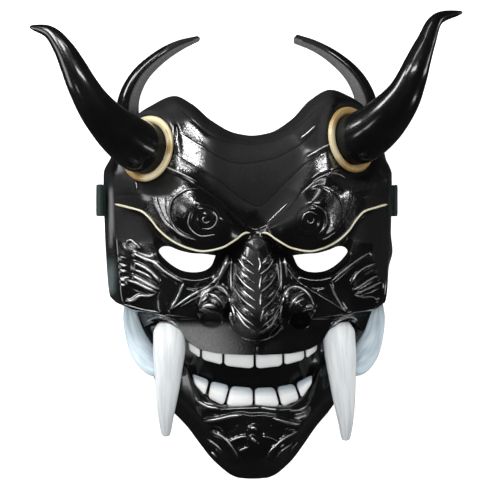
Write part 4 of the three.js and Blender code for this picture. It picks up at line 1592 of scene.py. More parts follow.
class FaceSurface:
    """The carved face as a sheet of points, in rows from the top edge down."""

    nose_wing = Dome((27, -39), (12, 13), 15)
    nostril = Dome((28, -49), (7.5, 5.5), 11)
    end_rows = 0.8
    end_columns = 0.02
    front_tilt = 0.2
    least_tilt = 0.3

    def __init__(self, columns: int = 230, spread: float = 0.24) -> None:
        """Shape the sheet.

        Args:
            columns: mesh faces across.
            spread: how much narrower they are in the middle, 0 for not at all.
        """
        self.form = FaceForm()
        marks = self.form.marks()
        rows = np.concatenate(
            [
                np.linspace(marks[i], marks[i + 1], line.fine, endpoint=False)
                for i, line in enumerate(FACE_LINES[:-1])
            ]
            + [marks[-1:]]
        )
        even = np.linspace(-1, 1, columns + 1)
        places = even + (even**3 - even) * spread
        x, y, z = self.form.sample(places, rows)
        bare = np.stack([x, y, self.form.seated(x, y, z + self.large_relief(x, y))], axis=-1)
        end = rise(0, self.end_rows, rows) * rise(0, self.end_rows, marks[-1] - rows)
        fade = rise(0, self.end_columns, 1 - np.abs(places)) * end[:, None]
        self.points = bare + self.normals_of(bare) * (self.fine_relief(x, y) * fade)[..., None]
        self.normals = self.normals_of(self.points)

    @staticmethod
    def normals_of(sheet: Array) -> Array:
        """Give a sheet's unit normals."""
        normal = np.cross(np.gradient(sheet, axis=0), np.gradient(sheet, axis=1))
        return normal / np.linalg.norm(normal, axis=-1, keepdims=True)

    def large_relief(self, x: Array, y: Array) -> Array:
        """Give the nose with its wings and nostrils."""
        return np.maximum(self.form.nose(x, y), self.nose_wing.at(x, y)) - self.nostril.at(x, y)

    @staticmethod
    def fine_relief(x: Array, y: Array) -> Array:
        """Add up the diamond above the nose and the carved lines.

        Args:
            x: the places' x.
            y: the places' y.

        Returns:
            The height at each place, below 0 in a groove.
        """
        raised = DIAMOND_HEIGHT * np.clip(diamond(x, y) * DIAMOND_EDGE, 0, 1)
        for stroke in CARVING:
            raised += carve(stroke, x, y)
        return raised

    def at(self, x: Array, y: Array) -> tuple[Array, Array]:
        """Find the sheet's points and normals at places across the face.

        Args:
            x: the places' x.
            y: the places' y.

        Returns:
            The points and the normals.
        """
        front = self.normals[..., 2] > self.front_tilt
        points, normals = self.points[front], self.normals[front]
        near = [np.argmin((points[:, 0] - a) ** 2 + (points[:, 1] - b) ** 2) for a, b in zip(x, y)]
        point, normal = points[near], normals[near]
        off = np.column_stack([x, y]) - point[:, :2]
        z = point[:, 2] - (off * normal[:, :2]).sum(1) / np.maximum(normal[:, 2], self.least_tilt)
        return np.column_stack([x, y, z]), normal


@dataclass
class SurfaceLine:
    """A thin raised line that follows the face."""

    surface: FaceSurface
    place: Placement
    step: float = 0.8
    lift: float = 0.1
    flat: float = 0.8
    thinnest: float = 0.25
    least_steps: int = 6
    section: Array = field(default_factory=lambda: ring_section(8))

    def build(self, name: str, points: Sequence[Pair], half: float, ends: float = 0.2) -> bpy.types.Object:
        """Make one line.

        Args:
            name: the piece's name until the lines are joined.
            points: where it runs across the face.
            half: its half width.
            ends: the share of its length over which each end thins out.

        Returns:
            The line.
        """
        rough = smooth(points, 200)
        run = np.concatenate([[0], np.cumsum(np.linalg.norm(np.diff(rough, axis=0), axis=1))])
        count = max(self.least_steps, int(run[-1] / self.step))
        t = np.linspace(0, run[-1], count + 1)
        x, y = np.interp(t, run, rough[:, 0]), np.interp(t, run, rough[:, 1])
        path, normal = self.surface.at(x, y)
        for _ in range(2):
            for values in (path[:, 2], normal):
                values[1:-1] = (values[:-2] + 2 * values[1:-1] + values[2:]) / 4
        along = np.gradient(path, axis=0)
        across = np.cross(along, normal)
        across /= np.linalg.norm(across, axis=1)[:, None]
        deep = np.cross(across, along)
        deep /= np.linalg.norm(deep, axis=1)[:, None]
        share = t / run[-1]
        thinned = rise(0, ends, share) * rise(0, ends, 1 - share)
        size = half * (self.thinnest + (1 - self.thinnest) * thinned)
        size[[0, -1]] = 0
        path = path + normal * self.lift
        across, deep = across * size[:, None], deep * size[:, None] * self.flat
        return sweep(name, path, across, deep, self.section, self.place)


@dataclass
class CarvedLines:
    """The fine carving: light metallic lines on the ridge tops as painted highlights, matte black lines in
    the creases as painted shade, and the nose's blades, a piece for each.
    """

    surface: FaceSurface
    place: Placement
    crease_side: float = 0.5
    crease_ends: float = 0.06
    blade_ends: float = 0.5

    def ridges(self) -> list[bpy.types.Object]:
        """Make the light metallic lines on the ridge tops, painted highlights."""
        line = SurfaceLine(self.surface, self.place)
        return [line.build("ridge", stroke.points, stroke.edge) for stroke in CARVING if stroke.edge > 0]

    def creases(self) -> list[bpy.types.Object]:
        """Make the matte black lines that paint shade into the creases. That of a step lies on its low side.

        Returns:
            The lines, not yet joined.
        """
        line = SurfaceLine(self.surface, self.place, lift=0.02, flat=0.3)
        made = []
        for stroke in CARVING:
            if stroke.crease > 0:
                shift = stroke.width * self.crease_side if stroke.cut is Cut.STEP else 0
                points = beside(stroke.points, shift)
                made.append(line.build("crease", points, stroke.crease, self.crease_ends))
        return made

    def blades(self) -> list[bpy.types.Object]:
        """Make the broad blades of the nose."""
        line = SurfaceLine(self.surface, self.place, step=0.4, lift=0.15, flat=0.62, section=ring_section(20))
        return [line.build("blade", leaf, FERN.half_width, self.blade_ends) for leaf in FERN.leaves()]

    def build(self) -> list[bpy.types.Object]:
        """Make the three pieces.

        Returns:
            The finished pieces.
        """
        # painted highlight: light metallic lines stand in for glints along the ridge tops
        highlight_paint = BlackLacquer("polished_lacquer", base=0.72, gloss=0.36, metal=1.0)
        # painted shade: matte black lines laid along the creases
        dull = BlackLacquer("dull_black", base=0.001, gloss=0.75, coat=0)
        satin = BlackLacquer("satin_lacquer", base=0.002, gloss=0.22, index=2.4)
        kinds = (
            ("polished_edges", self.ridges, highlight_paint), ("dark_creases", self.creases, dull),
            ("nose_blades", self.blades, satin),
        )
        return [
            finish_piece(joined(name, *make()), finish.material(), smooth_angle=LINE_ANGLE)
            for name, make, finish in kinds
        ]


@dataclass
class GoldLines:
    """The two painted lines under the brows."""

    surface: FaceSurface
    place: Placement
    start: float = 3.4
    points: int = 30
    half_width: float = 0.72
    ends: float = 0.03
    cream: Colour = (0.93, 0.90, 0.74, 1)
    worn: Colour = (0.74, 0.68, 0.46, 1)

    def build(self) -> bpy.types.Object:
        """Make both lines as one piece.

        Returns:
            The finished piece.
        """
        x = np.linspace(self.start, BROW_LINE[-1][0], self.points)
        y = Profile(*BROW_LINE)(x)
        line = SurfaceLine(self.surface, self.place, lift=0.25)
        paths = [list(zip(side.value * x, y)) for side in Side]
        made = [line.build("gold_line", path, self.half_width, self.ends) for path in paths]
        paint = OldGold("cream_gold", deep=self.worn, pale=self.cream, metal=0).material()
        return finish_piece(joined("gold_lines", *made), paint, smooth_angle=LINE_ANGLE)


# The shell


@dataclass(frozen=True)
class ShellMarks:
    """Where the shell's lacquer is satin with a painted sheen, bare, grey or painted with a highlight line,
    dull, or flecked as a painted highlight.

    A fade is the value where it starts and the value where it is whole. A span is a fade in and a fade out.
    Facing is how far a place looks up, from -1 to 1. The fades of spots are in the spots' radii.
    """

    names = ("satin", "bare", "band", "dull", "speckle")
    # patches where highlights are painted in as metallic flecks
    speckled: tuple[Spot, ...] = (
        ((-42, 64), (9, 11)), ((-43, 52), (11, 7)), ((-60, 18), (9, 11)), ((-47, 27), (8, 10)),
        ((47, 50), (9, 7)), ((50, 22), (6, 13)), ((60, 22), (5, 12)), ((-78, -2), (4, 3)),
    )
    speckle_fade: Pair = (1.3, 0.5)
    speckle_facing: Pair = (0, 0.2)
    dulled: tuple[Spot, ...] = (
        ((0, 52), (31, 30)), ((16, 24), (15, 14)), ((-83, 24), (12, 20)), ((-74, 8), (16, 8)),
        ((84, 20), (12, 20)), ((76, 8), (16, 8)), ((85, -8), (8, 16)), ((-68, 60), (15, 25)),
        ((63.5, 66), (15, 25)), ((-62, 38), (14, 8)), ((66, 41), (15, 8)), ((-50, 90), (18, 13)),
        ((41, 74), (17, 15)), ((-1, -30), (6.5, 26)),
    )
    dull_fade: Pair = (1.22, 0.78)
    rim_line: Profile = Profile(
        (0, 62.5), (12, 64.5), (21, 66.5), (29.5, 70), (37, 76.5), (45, 83.5), (50, 88)
    )
    rim_fade: Pair = (0, 1.5)
    rim_across: Pair = (55, 50)
    diamond_satin: float = 0.2
    diamond_fade: Pair = (0, 0.1)
    # the front of the left upper lip, painted lighter grey as a sheen
    lip_across: Span = ((-58, -50), (4, -34))
    lip_height: Span = ((-73, -69), (-49, -55))
    lip_facing: Pair = (-0.1, 0.3)
    flap_across: Pair = (86, 89.5)
    flap_height: Span = ((-36, -30), (48, 42))
    flap_facing: Pair = (0.5, 0.2)
    bare_height: Pair = (-6, -20)
    bare_least: float = 0.1
    arms_above: float = 62.0
    arms_behind: float = 26.0
    arm_height: Pair = (80, 92)
    arm_facing: Pair = (-0.3, 0.3)
    # a painted highlight line down the left flap's front edge
    highlight_stripe_across: Span = ((-91.4, -90.2), (-88.6, -89.4))
    highlight_stripe_height: Span = ((-6, 2), (38, 32))

    @staticmethod
    def spotted(x: Array, y: Array, spots: tuple[Spot, ...], fade: Pair) -> Array:
        """Give 1 inside any of the spots and 0 well past them."""
        away = [np.hypot((x - centre[0]) / radii[0], (y - centre[1]) / radii[1]) for centre, radii in spots]
        return rise(*fade, np.minimum.reduce(away))

    def values(self, at: Array, up: Array, arm_line: tuple[Pair, ...]) -> dict[str, Array]:
        """Work out every mark.

        Args:
            at: the shell's corners, in face millimetres.
            up: how far each corner faces up.
            arm_line: the middle line of the right arm, seen from the front.

        Returns:
            The marks' values at the corners, by name.
        """
        x, y, z = at.T
        side = np.abs(x)
        # satin: the left upper lip's front and, faintly, the diamond, both painted lighter grey as a sheen
        lip = within(self.lip_across, x) * within(self.lip_height, y) * rise(*self.lip_facing, up)
        satin = np.maximum(lip, self.diamond_satin * rise(*self.diamond_fade, diamond(x, y)))
        rim = rise(*self.rim_fade, y - self.rim_line(side)) * rise(*self.rim_across, side)
        dull = np.maximum(rim, self.spotted(x, y, self.dulled, self.dull_fade))
        # painted highlight patches, only where the face looks forward
        speckle = self.spotted(x, y, self.speckled, self.speckle_fade)
        speckle = speckle * (1 - dull) * rise(*self.speckle_facing, up)
        flap = rise(*self.flap_across, side) * within(self.flap_height, y) * rise(*self.flap_facing, up)
        bare = flap * (self.bare_least + (1 - self.bare_least) * rise(*self.bare_height, y))
        # the painted highlight line on the left flap; the arms' bare inner faces join it below
        band = within(self.highlight_stripe_across, x) * within(self.highlight_stripe_height, y)
        arms = (y > self.arms_above) & (z < self.arms_behind)
        _, which, _ = nearest(arm_line, side[arms], y[arms])
        on_arm = np.where(which > 0, rise(*self.arm_height, y[arms]), 0) * rise(*self.arm_facing, up[arms])
        band[arms] = np.maximum(band[arms], on_arm)
        return dict(zip(self.names, (satin, bare, band, dull, speckle)))


@dataclass
class MaskShell:
    """The moulded shell: the carved face, its side walls and rim, its hollow back and both crescent arms."""

    surface: FaceSurface
    place: Placement
    wall: float = 3.2
    edge_wall: float = 2.0
    smooth_angle: float = 62.0
    wall_steps: int = 8
    wall_bulge: float = 0.6
    inner_wall_steps: int = 3
    least_wall: float = 6.0
    least_inner_wall: float = 0.5
    smoothing: int = 3
    side_rim: Profile = Profile(
        (-109.4, 38), (-84, 34), (-59, 36), (-44, 40), (-38.5, 34), (-34, 3), (-31, 0), (44, 0), (50, 3),
        (57, 8)
    )
    top_rim: Profile = Profile((0, 44), (26, 44), (50, 42), (75, 24), (88.5, 8))
    bottom_rim: Profile = Profile((0, 50), (26, 47), (49.4, 38))
    flares: dict[Side, Profile] = field(
        default_factory=lambda: {
            Side.LEFT: Profile((-42, 0), (-34, 5), (45, 5), (57, 0)),
            Side.RIGHT: Profile((-42, 0), (-34, 5.5), (-18, 6), (-6, 9.5), (8, 7.4), (45, 7.5), (57, 0)),
        }
    )
    eye: tuple[Pair, ...] = (
        (24.6, -8), (32, -7), (40, -6.5), (48, -4.5), (54, -2.2), (58.5, -2.6), (60.5, -5), (58, -9),
        (52, -14.3), (46, -17.5), (39, -18.6), (32, -17.6), (27.5, -14.5),
    )
    eye_depth: Pair = (30, 130)
    eye_steps: int = 5
    slot_middle: Place = (90, 27.8, 8.2)
    slot_size: Place = (16, 23.5, 6)
    slot_round: float = 1.0
    arm_path: tuple[Place, ...] = (
        (78, 60, 14), (78.5, 80, 13), (77, 95, 12), (70, 109, 11), (58, 120.6, 10), (45, 128.6, 9),
        (30.5, 134, 8),
    )
    arm_depth: tuple[Pair, ...] = ((0, 10), (0.2, 9), (0.4, 7.6), (0.6, 6), (0.8, 4.6))
    arm_flat: float = 0.85
    arm_tips: dict[Side, float] = field(default_factory=lambda: {Side.LEFT: 2.0, Side.RIGHT: 3.7})

    def rim(self, border: Array, top: Array, bottom: Array) -> Array:
        """Place the back rim behind each point of the face's border.

        Args:
            border: the border's points.
            top: which of them are on the top edge.
            bottom: which of them are on the bottom edge.

        Returns:
            A point of the rim for each.
        """
        side = np.abs(border[:, 0])
        free_depth = np.where(bottom, self.bottom_rim(side), self.side_rim(border[:, 1]))
        depth = np.where(top, self.top_rim(side), free_depth)
        rim = border.copy()
        free = ~(top | bottom)
        for which, flare in self.flares.items():
            mine = free & (border[:, 0] * which.value > 0)
            rim[mine, 0] += which.value * flare(border[mine, 1])
        rim[:, 2] = np.minimum(depth, border[:, 2] - self.least_wall)
        return rim

    @staticmethod
    def neighbours(values: Array, axis: int) -> list[Array]:
        """Give the values before, at and after each place along an axis."""
        padded = np.concatenate([values.take([0], axis), values, values.take([-1], axis)], axis)
        return [padded.take(range(i, i + values.shape[axis]), axis) for i in range(3)]

    def hollow(self, sheet: Array) -> Array:
        """Shape the inner sheet, on every second point of the face, a wall's thickness behind it.

        Args:
            sheet: the face's points.

        Returns:
            The inner sheet's points.
        """
        low = sheet[..., 2]
        passes = [axis for axis in (0, 1) for _ in range(self.smoothing)]
        for axis in passes:
            low = np.minimum.reduce(self.neighbours(low, axis))
        for axis in passes:
            low = np.minimum(low, sum(self.neighbours(low, axis)) / 3)
        inner = sheet.copy()
        inner[..., 2] = low - self.wall
        inner = inner[::2, ::2]
        inner[0, :, 1] -= self.wall
        inner[-1, :, 1] += self.wall
        inner[:, 0, 0] += self.wall
        inner[:, -1, 0] -= self.wall
        for edge in (np.s_[0], np.s_[-1], np.s_[:, 0], np.s_[:, -1]):
            inner[edge][..., 2] -= self.edge_wall
        return inner

    def shell_mesh(self) -> bpy.types.Object:
        """Join the face, its walls, the rim and the hollow into one closed mesh.

        Returns:
            The shell without its holes and arms.
        """
        outside, inside = self.surface.points, self.hollow(self.surface.points)
        rows, columns = outside.shape[:2]
        points = [outside.reshape(-1, 3), inside.reshape(-1, 3)]
        start = len(points[0])
        faces = [self.sheet_faces(rows, columns, 0), self.sheet_faces(*inside.shape[:2], start)[:, ::-1]]

        loop = self.border(rows, columns)
        border = points[0][loop]
        out = self.rim(border, loop < columns, loop >= (rows - 1) * columns) - border
        rings = [border + out * (t**self.wall_bulge, t, t) for t in self.shares(self.wall_steps)]
        outer = self.add_wall(points, faces, loop, rings, 1)

        inner_loop = self.border(*inside.shape[:2])
        inner_border = points[1][inner_loop]
        drop = np.zeros(inner_border.shape)
        drop[:, 0] = out[::2, 0]
        drop[:, 2] = np.minimum((border + out)[::2, 2] - inner_border[:, 2], -self.least_inner_wall)
        inner_rings = [inner_border + drop * t for t in self.shares(self.inner_wall_steps)]
        inner = self.add_wall(points, faces, inner_loop + start, inner_rings, -1)

        near, middle, far, after = outer[::2], outer[1::2], np.roll(outer[::2], -1), np.roll(inner, -1)
        for triangle in ((near, inner, middle), (middle, inner, after), (middle, after, far)):
            faces.append(np.column_stack(triangle))
        mesh = bpy.data.meshes.new("mask_shell")
        all_faces = [face for block in faces for face in block.tolist()]
        mesh.from_pydata(self.place.metres(np.concatenate(points)).tolist(), [], all_faces)
        mesh.update()
        shell = bpy.data.objects.new("mask_shell", mesh)
        bpy.context.scene.collection.objects.link(shell)
        return shell

    @staticmethod
    def sheet_faces(rows: int, columns: int, start: int) -> Array:
        """Give the quads of a sheet whose rows run down, facing up.

        Args:
            rows: rows of points.
            columns: points in each row.
            start: the number of its first point.

        Returns:
            The four corners of each quad.
        """
        index = np.arange(rows * columns).reshape(rows, columns) + start
        quads = np.stack([index[:-1, :-1], index[1:, :-1], index[1:, 1:], index[:-1, 1:]], axis=-1)
        return quads.reshape(-1, 4)

    @staticmethod
    def shares(steps: int) -> list[float]:
        """Give the places of a wall's rings between its start, 0, and its end, 1."""
        return [step / steps for step in range(1, steps + 1)]

    @staticmethod
    def add_wall(points: list[Array], faces: list[Array], loop: Array, rings: list[Array], way: int) -> Array:
        """Add a wall to a mesh that is being made.

        Args:
            points: the mesh's points so far, to add the wall's to.
            faces: its faces so far, to add the wall's to.
            loop: the points that the wall starts at.
            rings: the wall's own points, ring by ring.
            way: 1 for faces that look out of the loop, -1 for faces that look in.

        Returns:
            The points of the last ring.
        """
        for ring in rings:
            lower = np.arange(len(ring)) + sum(map(len, points))
            quads = np.column_stack([loop, lower, np.roll(lower, -1), np.roll(loop, -1)])
            faces.append(quads[:, ::way])
            points.append(ring)
            loop = lower
        return loop

    @staticmethod
    def border(rows: int, columns: int) -> Array:
        """Give the border of a sheet, down its left side first."""
        index = np.arange(rows * columns).reshape(rows, columns)
        return np.concatenate([index[:-1, 0], index[-1, :-1], index[:0:-1, -1], index[0, :0:-1]])

    def eye_cutter(self, side: Side) -> bpy.types.Object:
        """Make the solid that cuts one eye hole.

        Args:
            side: the side of the mask that it is on.

        Returns:
            The cutter.
        """
        outline = spline([*self.eye, self.eye[0]], np.linspace(0, 1, len(self.eye) * self.eye_steps + 1))[:-1]
        outline = outline * [side.value, 1]
        low, high = self.eye_depth
        cutter = added(bpy.ops.mesh.primitive_circle_add, vertices=len(outline), radius=1, fill_type="NGON")
        move_corners(cutter, self.place.metres(np.column_stack([outline, np.full(len(outline), low)])))
        lift = (0, 0, (high - low) * MM)
        edit(
            cutter,
            lambda: bpy.ops.mesh.extrude_region_move(TRANSFORM_OT_translate={"value": lift}),
            lambda: bpy.ops.mesh.select_all(action="SELECT"),
            lambda: bpy.ops.mesh.normals_make_consistent(inside=False),
        )
        return cutter

    def slot_cutter(self, side: Side) -> bpy.types.Object:
        """Make the solid that cuts one strap slot.

        Args:
            side: the side of the mask that it is on.

        Returns:
            The cutter.
        """
        middle = np.array(self.slot_middle) * [side.value, 1, 1]
        cutter = added(bpy.ops.mesh.primitive_cube_add, size=1, location=self.place.metres(middle))
        cutter.scale = Vector(self.slot_size) * MM
        choose(cutter)
        bpy.ops.object.transform_apply(location=True, rotation=True, scale=True)
        edit(cutter, lambda: bpy.ops.mesh.bevel(offset=self.slot_round * MM, segments=3, affect="EDGES"))
        return cutter

    def cut(self, shell: bpy.types.Object, cutter: bpy.types.Object) -> None:
        """Cut a hole in the shell.

        Args:
            shell: the shell.
            cutter: the solid that is taken away, removed afterwards.
        """
        choose(shell)
        hole = shell.modifiers.new("hole", "BOOLEAN")
        hole.operation = "DIFFERENCE"
        hole.solver = "EXACT"
        hole.object = cutter
        bpy.ops.object.modifier_apply(modifier=hole.name)
        bpy.data.objects.remove(cutter)

    def arm(self, side: Side) -> bpy.types.Object:
        """Make one crescent arm.

        Args:
            side: the side of the mask that it is on.

        Returns:
            The arm, to be joined to the shell.
        """
        path = tuple((side.value * x, y, z) for x, y, z in self.arm_path)
        depth = Profile(*self.arm_depth, (1, self.arm_tips[side]))
        arm = Taper(path, depth, (0, 0, 1), steps=70, sides=28, flat=self.arm_flat)
        return arm.build(side.name.lower() + "_arm", self.place)

    def paint(self, shell: bpy.types.Object) -> None:
        """Store where the lacquer differs, for the material to read.

        Args:
            shell: the shell with its arms.
        """
        normals = np.empty(len(shell.data.vertices) * 3, np.float32)
        shell.data.vertices.foreach_get("normal", normals)
        at, up = self.place.face(corners(shell)), normals.reshape(-1, 3)[:, 2]
        arm_line = tuple((x, y) for x, y, _ in self.arm_path)
        store_marks(shell, ShellMarks().values(at, up, arm_line))

    def build(self) -> bpy.types.Object:
        """Make the shell with its arms.

        Returns:
            The finished piece.
        """
        shell = self.shell_mesh()
        for side in Side:
            self.cut(shell, self.eye_cutter(side))
            self.cut(shell, self.slot_cutter(side))
        shell = joined("mask_shell", shell, *(self.arm(side) for side in Side))
        self.paint(shell)
        lacquer = BlackLacquer("black_lacquer_shell", marked=True).material()
        return finish_piece(shell, lacquer, "mask_shell", self.smooth_angle)


# Horns and rings


@dataclass
class HornPair:
    """The two horns with their rings, each side listed on its own."""

    place: Placement
    root: float = 12.0
    straight: float = 7.0
    bore: float = 16.3
    wire: float = 2.5
    wire_depth: float = 1.8
    sink: float = 0.6
    dull_to: float = 9.0
    clear: float = 0.3
    section_side: Place = (0, -0.3, 1)
    ring_steps: int = 120
    ring_squareness: float = 2.2
    radius: Profile = Profile(
        (0, 16), (0.12, 16.3), (0.2, 16.8), (0.32, 15.3), (0.44, 12.7), (0.56, 10.2), (0.68, 8.4), (0.8, 6.3),
        (0.9, 4.2), (0.97, 2.2), (1, 0.8),
    )
    rest: dict[Side, tuple[Place, ...]] = field(
        default_factory=lambda: {
            Side.LEFT: (
                (-81, 66, 79), (-91.5, 74.5, 87), (-101.8, 86.2, 91), (-109.6, 99, 92), (-115.6, 111.5, 89),
                (-121.8, 123.4, 84), (-130, 133.4, 77), (-142.8, 137.5, 68),
            ),
            Side.RIGHT: (
                (77.5, 73.5, 79), (87, 83.5, 87), (94, 93.5, 91), (99, 104.5, 92), (103.4, 115.5, 89),
                (108.8, 127.5, 84), (116.8, 142.5, 77), (134.6, 148, 68),
            ),
        }
    )

    def horn(self, side: Side) -> bpy.types.Object:
        """Make one horn.

        Args:
            side: the side of the mask that it is on.

        Returns:
            The horn, not yet painted.
        """
        ring = RING_SEATS[side]
        middle, axis = np.array(ring.middle), ring.axis()
        path = (tuple(middle), tuple(middle + axis * self.straight), *self.rest[side])
        full = (tuple(middle - axis * self.root), *path)
        horn = Taper(full, self.radius, self.section_side, steps=120, sides=56)
        piece = horn.build(f"{side.name.lower()}_horn", self.place)
        self.trim(piece, ring)
        above = (self.place.face(corners(piece)) - middle) @ axis
        store_marks(piece, {"dull": rise(self.dull_to, self.dull_to / 2, above)})
        return piece

    def trim(self, piece: bpy.types.Object, ring: RingSeat) -> None:
        """Cut the root flat, just above the seat, so that it stays clear of the shell.

        Args:
            piece: the horn.
            ring: the seat that it stands on.
        """
        axis = Vector(ring.axis())
        level = self.place.offset + Vector(ring.middle) * MM - axis * (FaceForm.seat_drop - self.clear) * MM
        cut = {"plane_co": level, "plane_no": axis, "use_fill": True, "clear_inner": True}
        edit(piece, lambda: bpy.ops.mesh.bisect(**cut))

    def ring(self, side: Side) -> bpy.types.Object:
        """Make one ring.

        Args:
            side: the side of the mask that it is on.

        Returns:
            The ring, not yet painted.
        """
        seat = RING_SEATS[side]
        turn = Vector((0, 0, 1)).rotation_difference(Vector(seat.axis())).to_matrix()
        t = np.linspace(0, 2 * math.pi, self.ring_steps + 1)
        radial = np.column_stack([np.cos(t), np.sin(t), np.zeros(len(t))]) @ np.array(turn).T
        path = np.array(seat.middle) - seat.axis() * self.sink + radial * (self.bore + self.wire)
        deep = np.tile(seat.axis() * self.wire_depth, (len(t), 1))
        name = f"{side.name.lower()}_horn_ring"
        return sweep(name, path, radial * self.wire, deep, ring_section(28, self.ring_squareness), self.place)

    def build(self) -> list[bpy.types.Object]:
        """Make both horns and both rings.

        Returns:
            The finished pieces.
        """
        lacquer = BlackLacquer("black_lacquer_horn", gloss=0.2, marked=True).material()
        gold = OldGold().material()
        pieces = []
        for side in Side:
            label = side.name.lower()
            horn, ring = self.horn(side), self.ring(side)
            pieces.append(finish_piece(horn, lacquer, f"{label}_horn"))
            pieces.append(finish_piece(ring, gold, f"{label}_horn_ring"))
        return pieces


# Fangs, tusks and teeth


@dataclass
class FangsAndTusks:
    """The two long fangs and the two flatter tusks behind them."""

    place: Placement
    fang_paths: dict[Side, tuple[Place, ...]] = field(
        default_factory=lambda: {
            Side.LEFT: (
                (-54, -53, 70), (-54.2, -62, 79), (-54.9, -75, 84), (-55.8, -92, 85), (-56.6, -108, 83),
                (-56.4, -123, 79),
            ),
            Side.RIGHT: (
                (54.5, -53, 70), (54, -62, 79), (54.8, -77, 84), (56.2, -95, 85), (57.6, -111, 83),
                (58.2, -126, 79),
            ),
        }
    )
    fang_width: Profile = Profile(
        (0, 8), (0.12, 10.3), (0.3, 10.2), (0.5, 8.6), (0.7, 6.6), (0.86, 4.6), (0.96, 3.2), (1, 2)
    )
    fang_flat: float = 0.8
    tusk_path: tuple[Place, ...] = (
        (51, -84, 61), (59, -82, 62), (66, -76.5, 60), (72, -69, 57), (76.3, -60, 54.5), (79.4, -48, 52),
        (80.5, -38, 50),
    )
    tusk_across: float = 1.7
    tusk_width: Profile = Profile(
        (0, 11), (0.2, 11.5), (0.36, 10.6), (0.5, 8.8), (0.66, 6.8), (0.85, 4.8), (1, 2.6)
    )
    tusk_flat: float = 0.42

    def build(self) -> list[bpy.types.Object]:
        """Make the four pieces.

        Returns:
            The finished pieces.
        """
        fang_paint = PaintedTooth("fang_paint", streak=0.3, dark_tip=0.3).material()
        tusk_paint = PaintedTooth(
            "tusk_paint", white=(0.62, 0.72, 0.78, 1), grey_blue=(0.25, 0.33, 0.39, 1), streak=0.5,
            dark_tip=0.2
        ).material()
        pieces = []
        for side in Side:
            label = side.name.lower()
            path = self.fang_paths[side]
            fang = Taper(path, self.fang_width, (1, 0, 0), steps=80, sides=36, flat=self.fang_flat)
            path = tuple((side.value * x + self.tusk_across, y, z) for x, y, z in self.tusk_path)
            tusk = Taper(path, self.tusk_width, (side.value, 0.6, 0), steps=70, sides=32, flat=self.tusk_flat)
            for kind, shape, paint in (("fang", fang, fang_paint), ("tusk", tusk, tusk_paint)):
                piece = shape.build(f"{label}_{kind}", self.place)
                pieces.append(finish_piece(piece, paint, f"{label}_{kind}"))
        return pieces


@dataclass(frozen=True)
class Tooth:
    """One tooth, by the corners of its front: top left, top right, bottom right, bottom left."""

    corners: tuple[Pair, Pair, Pair, Pair]


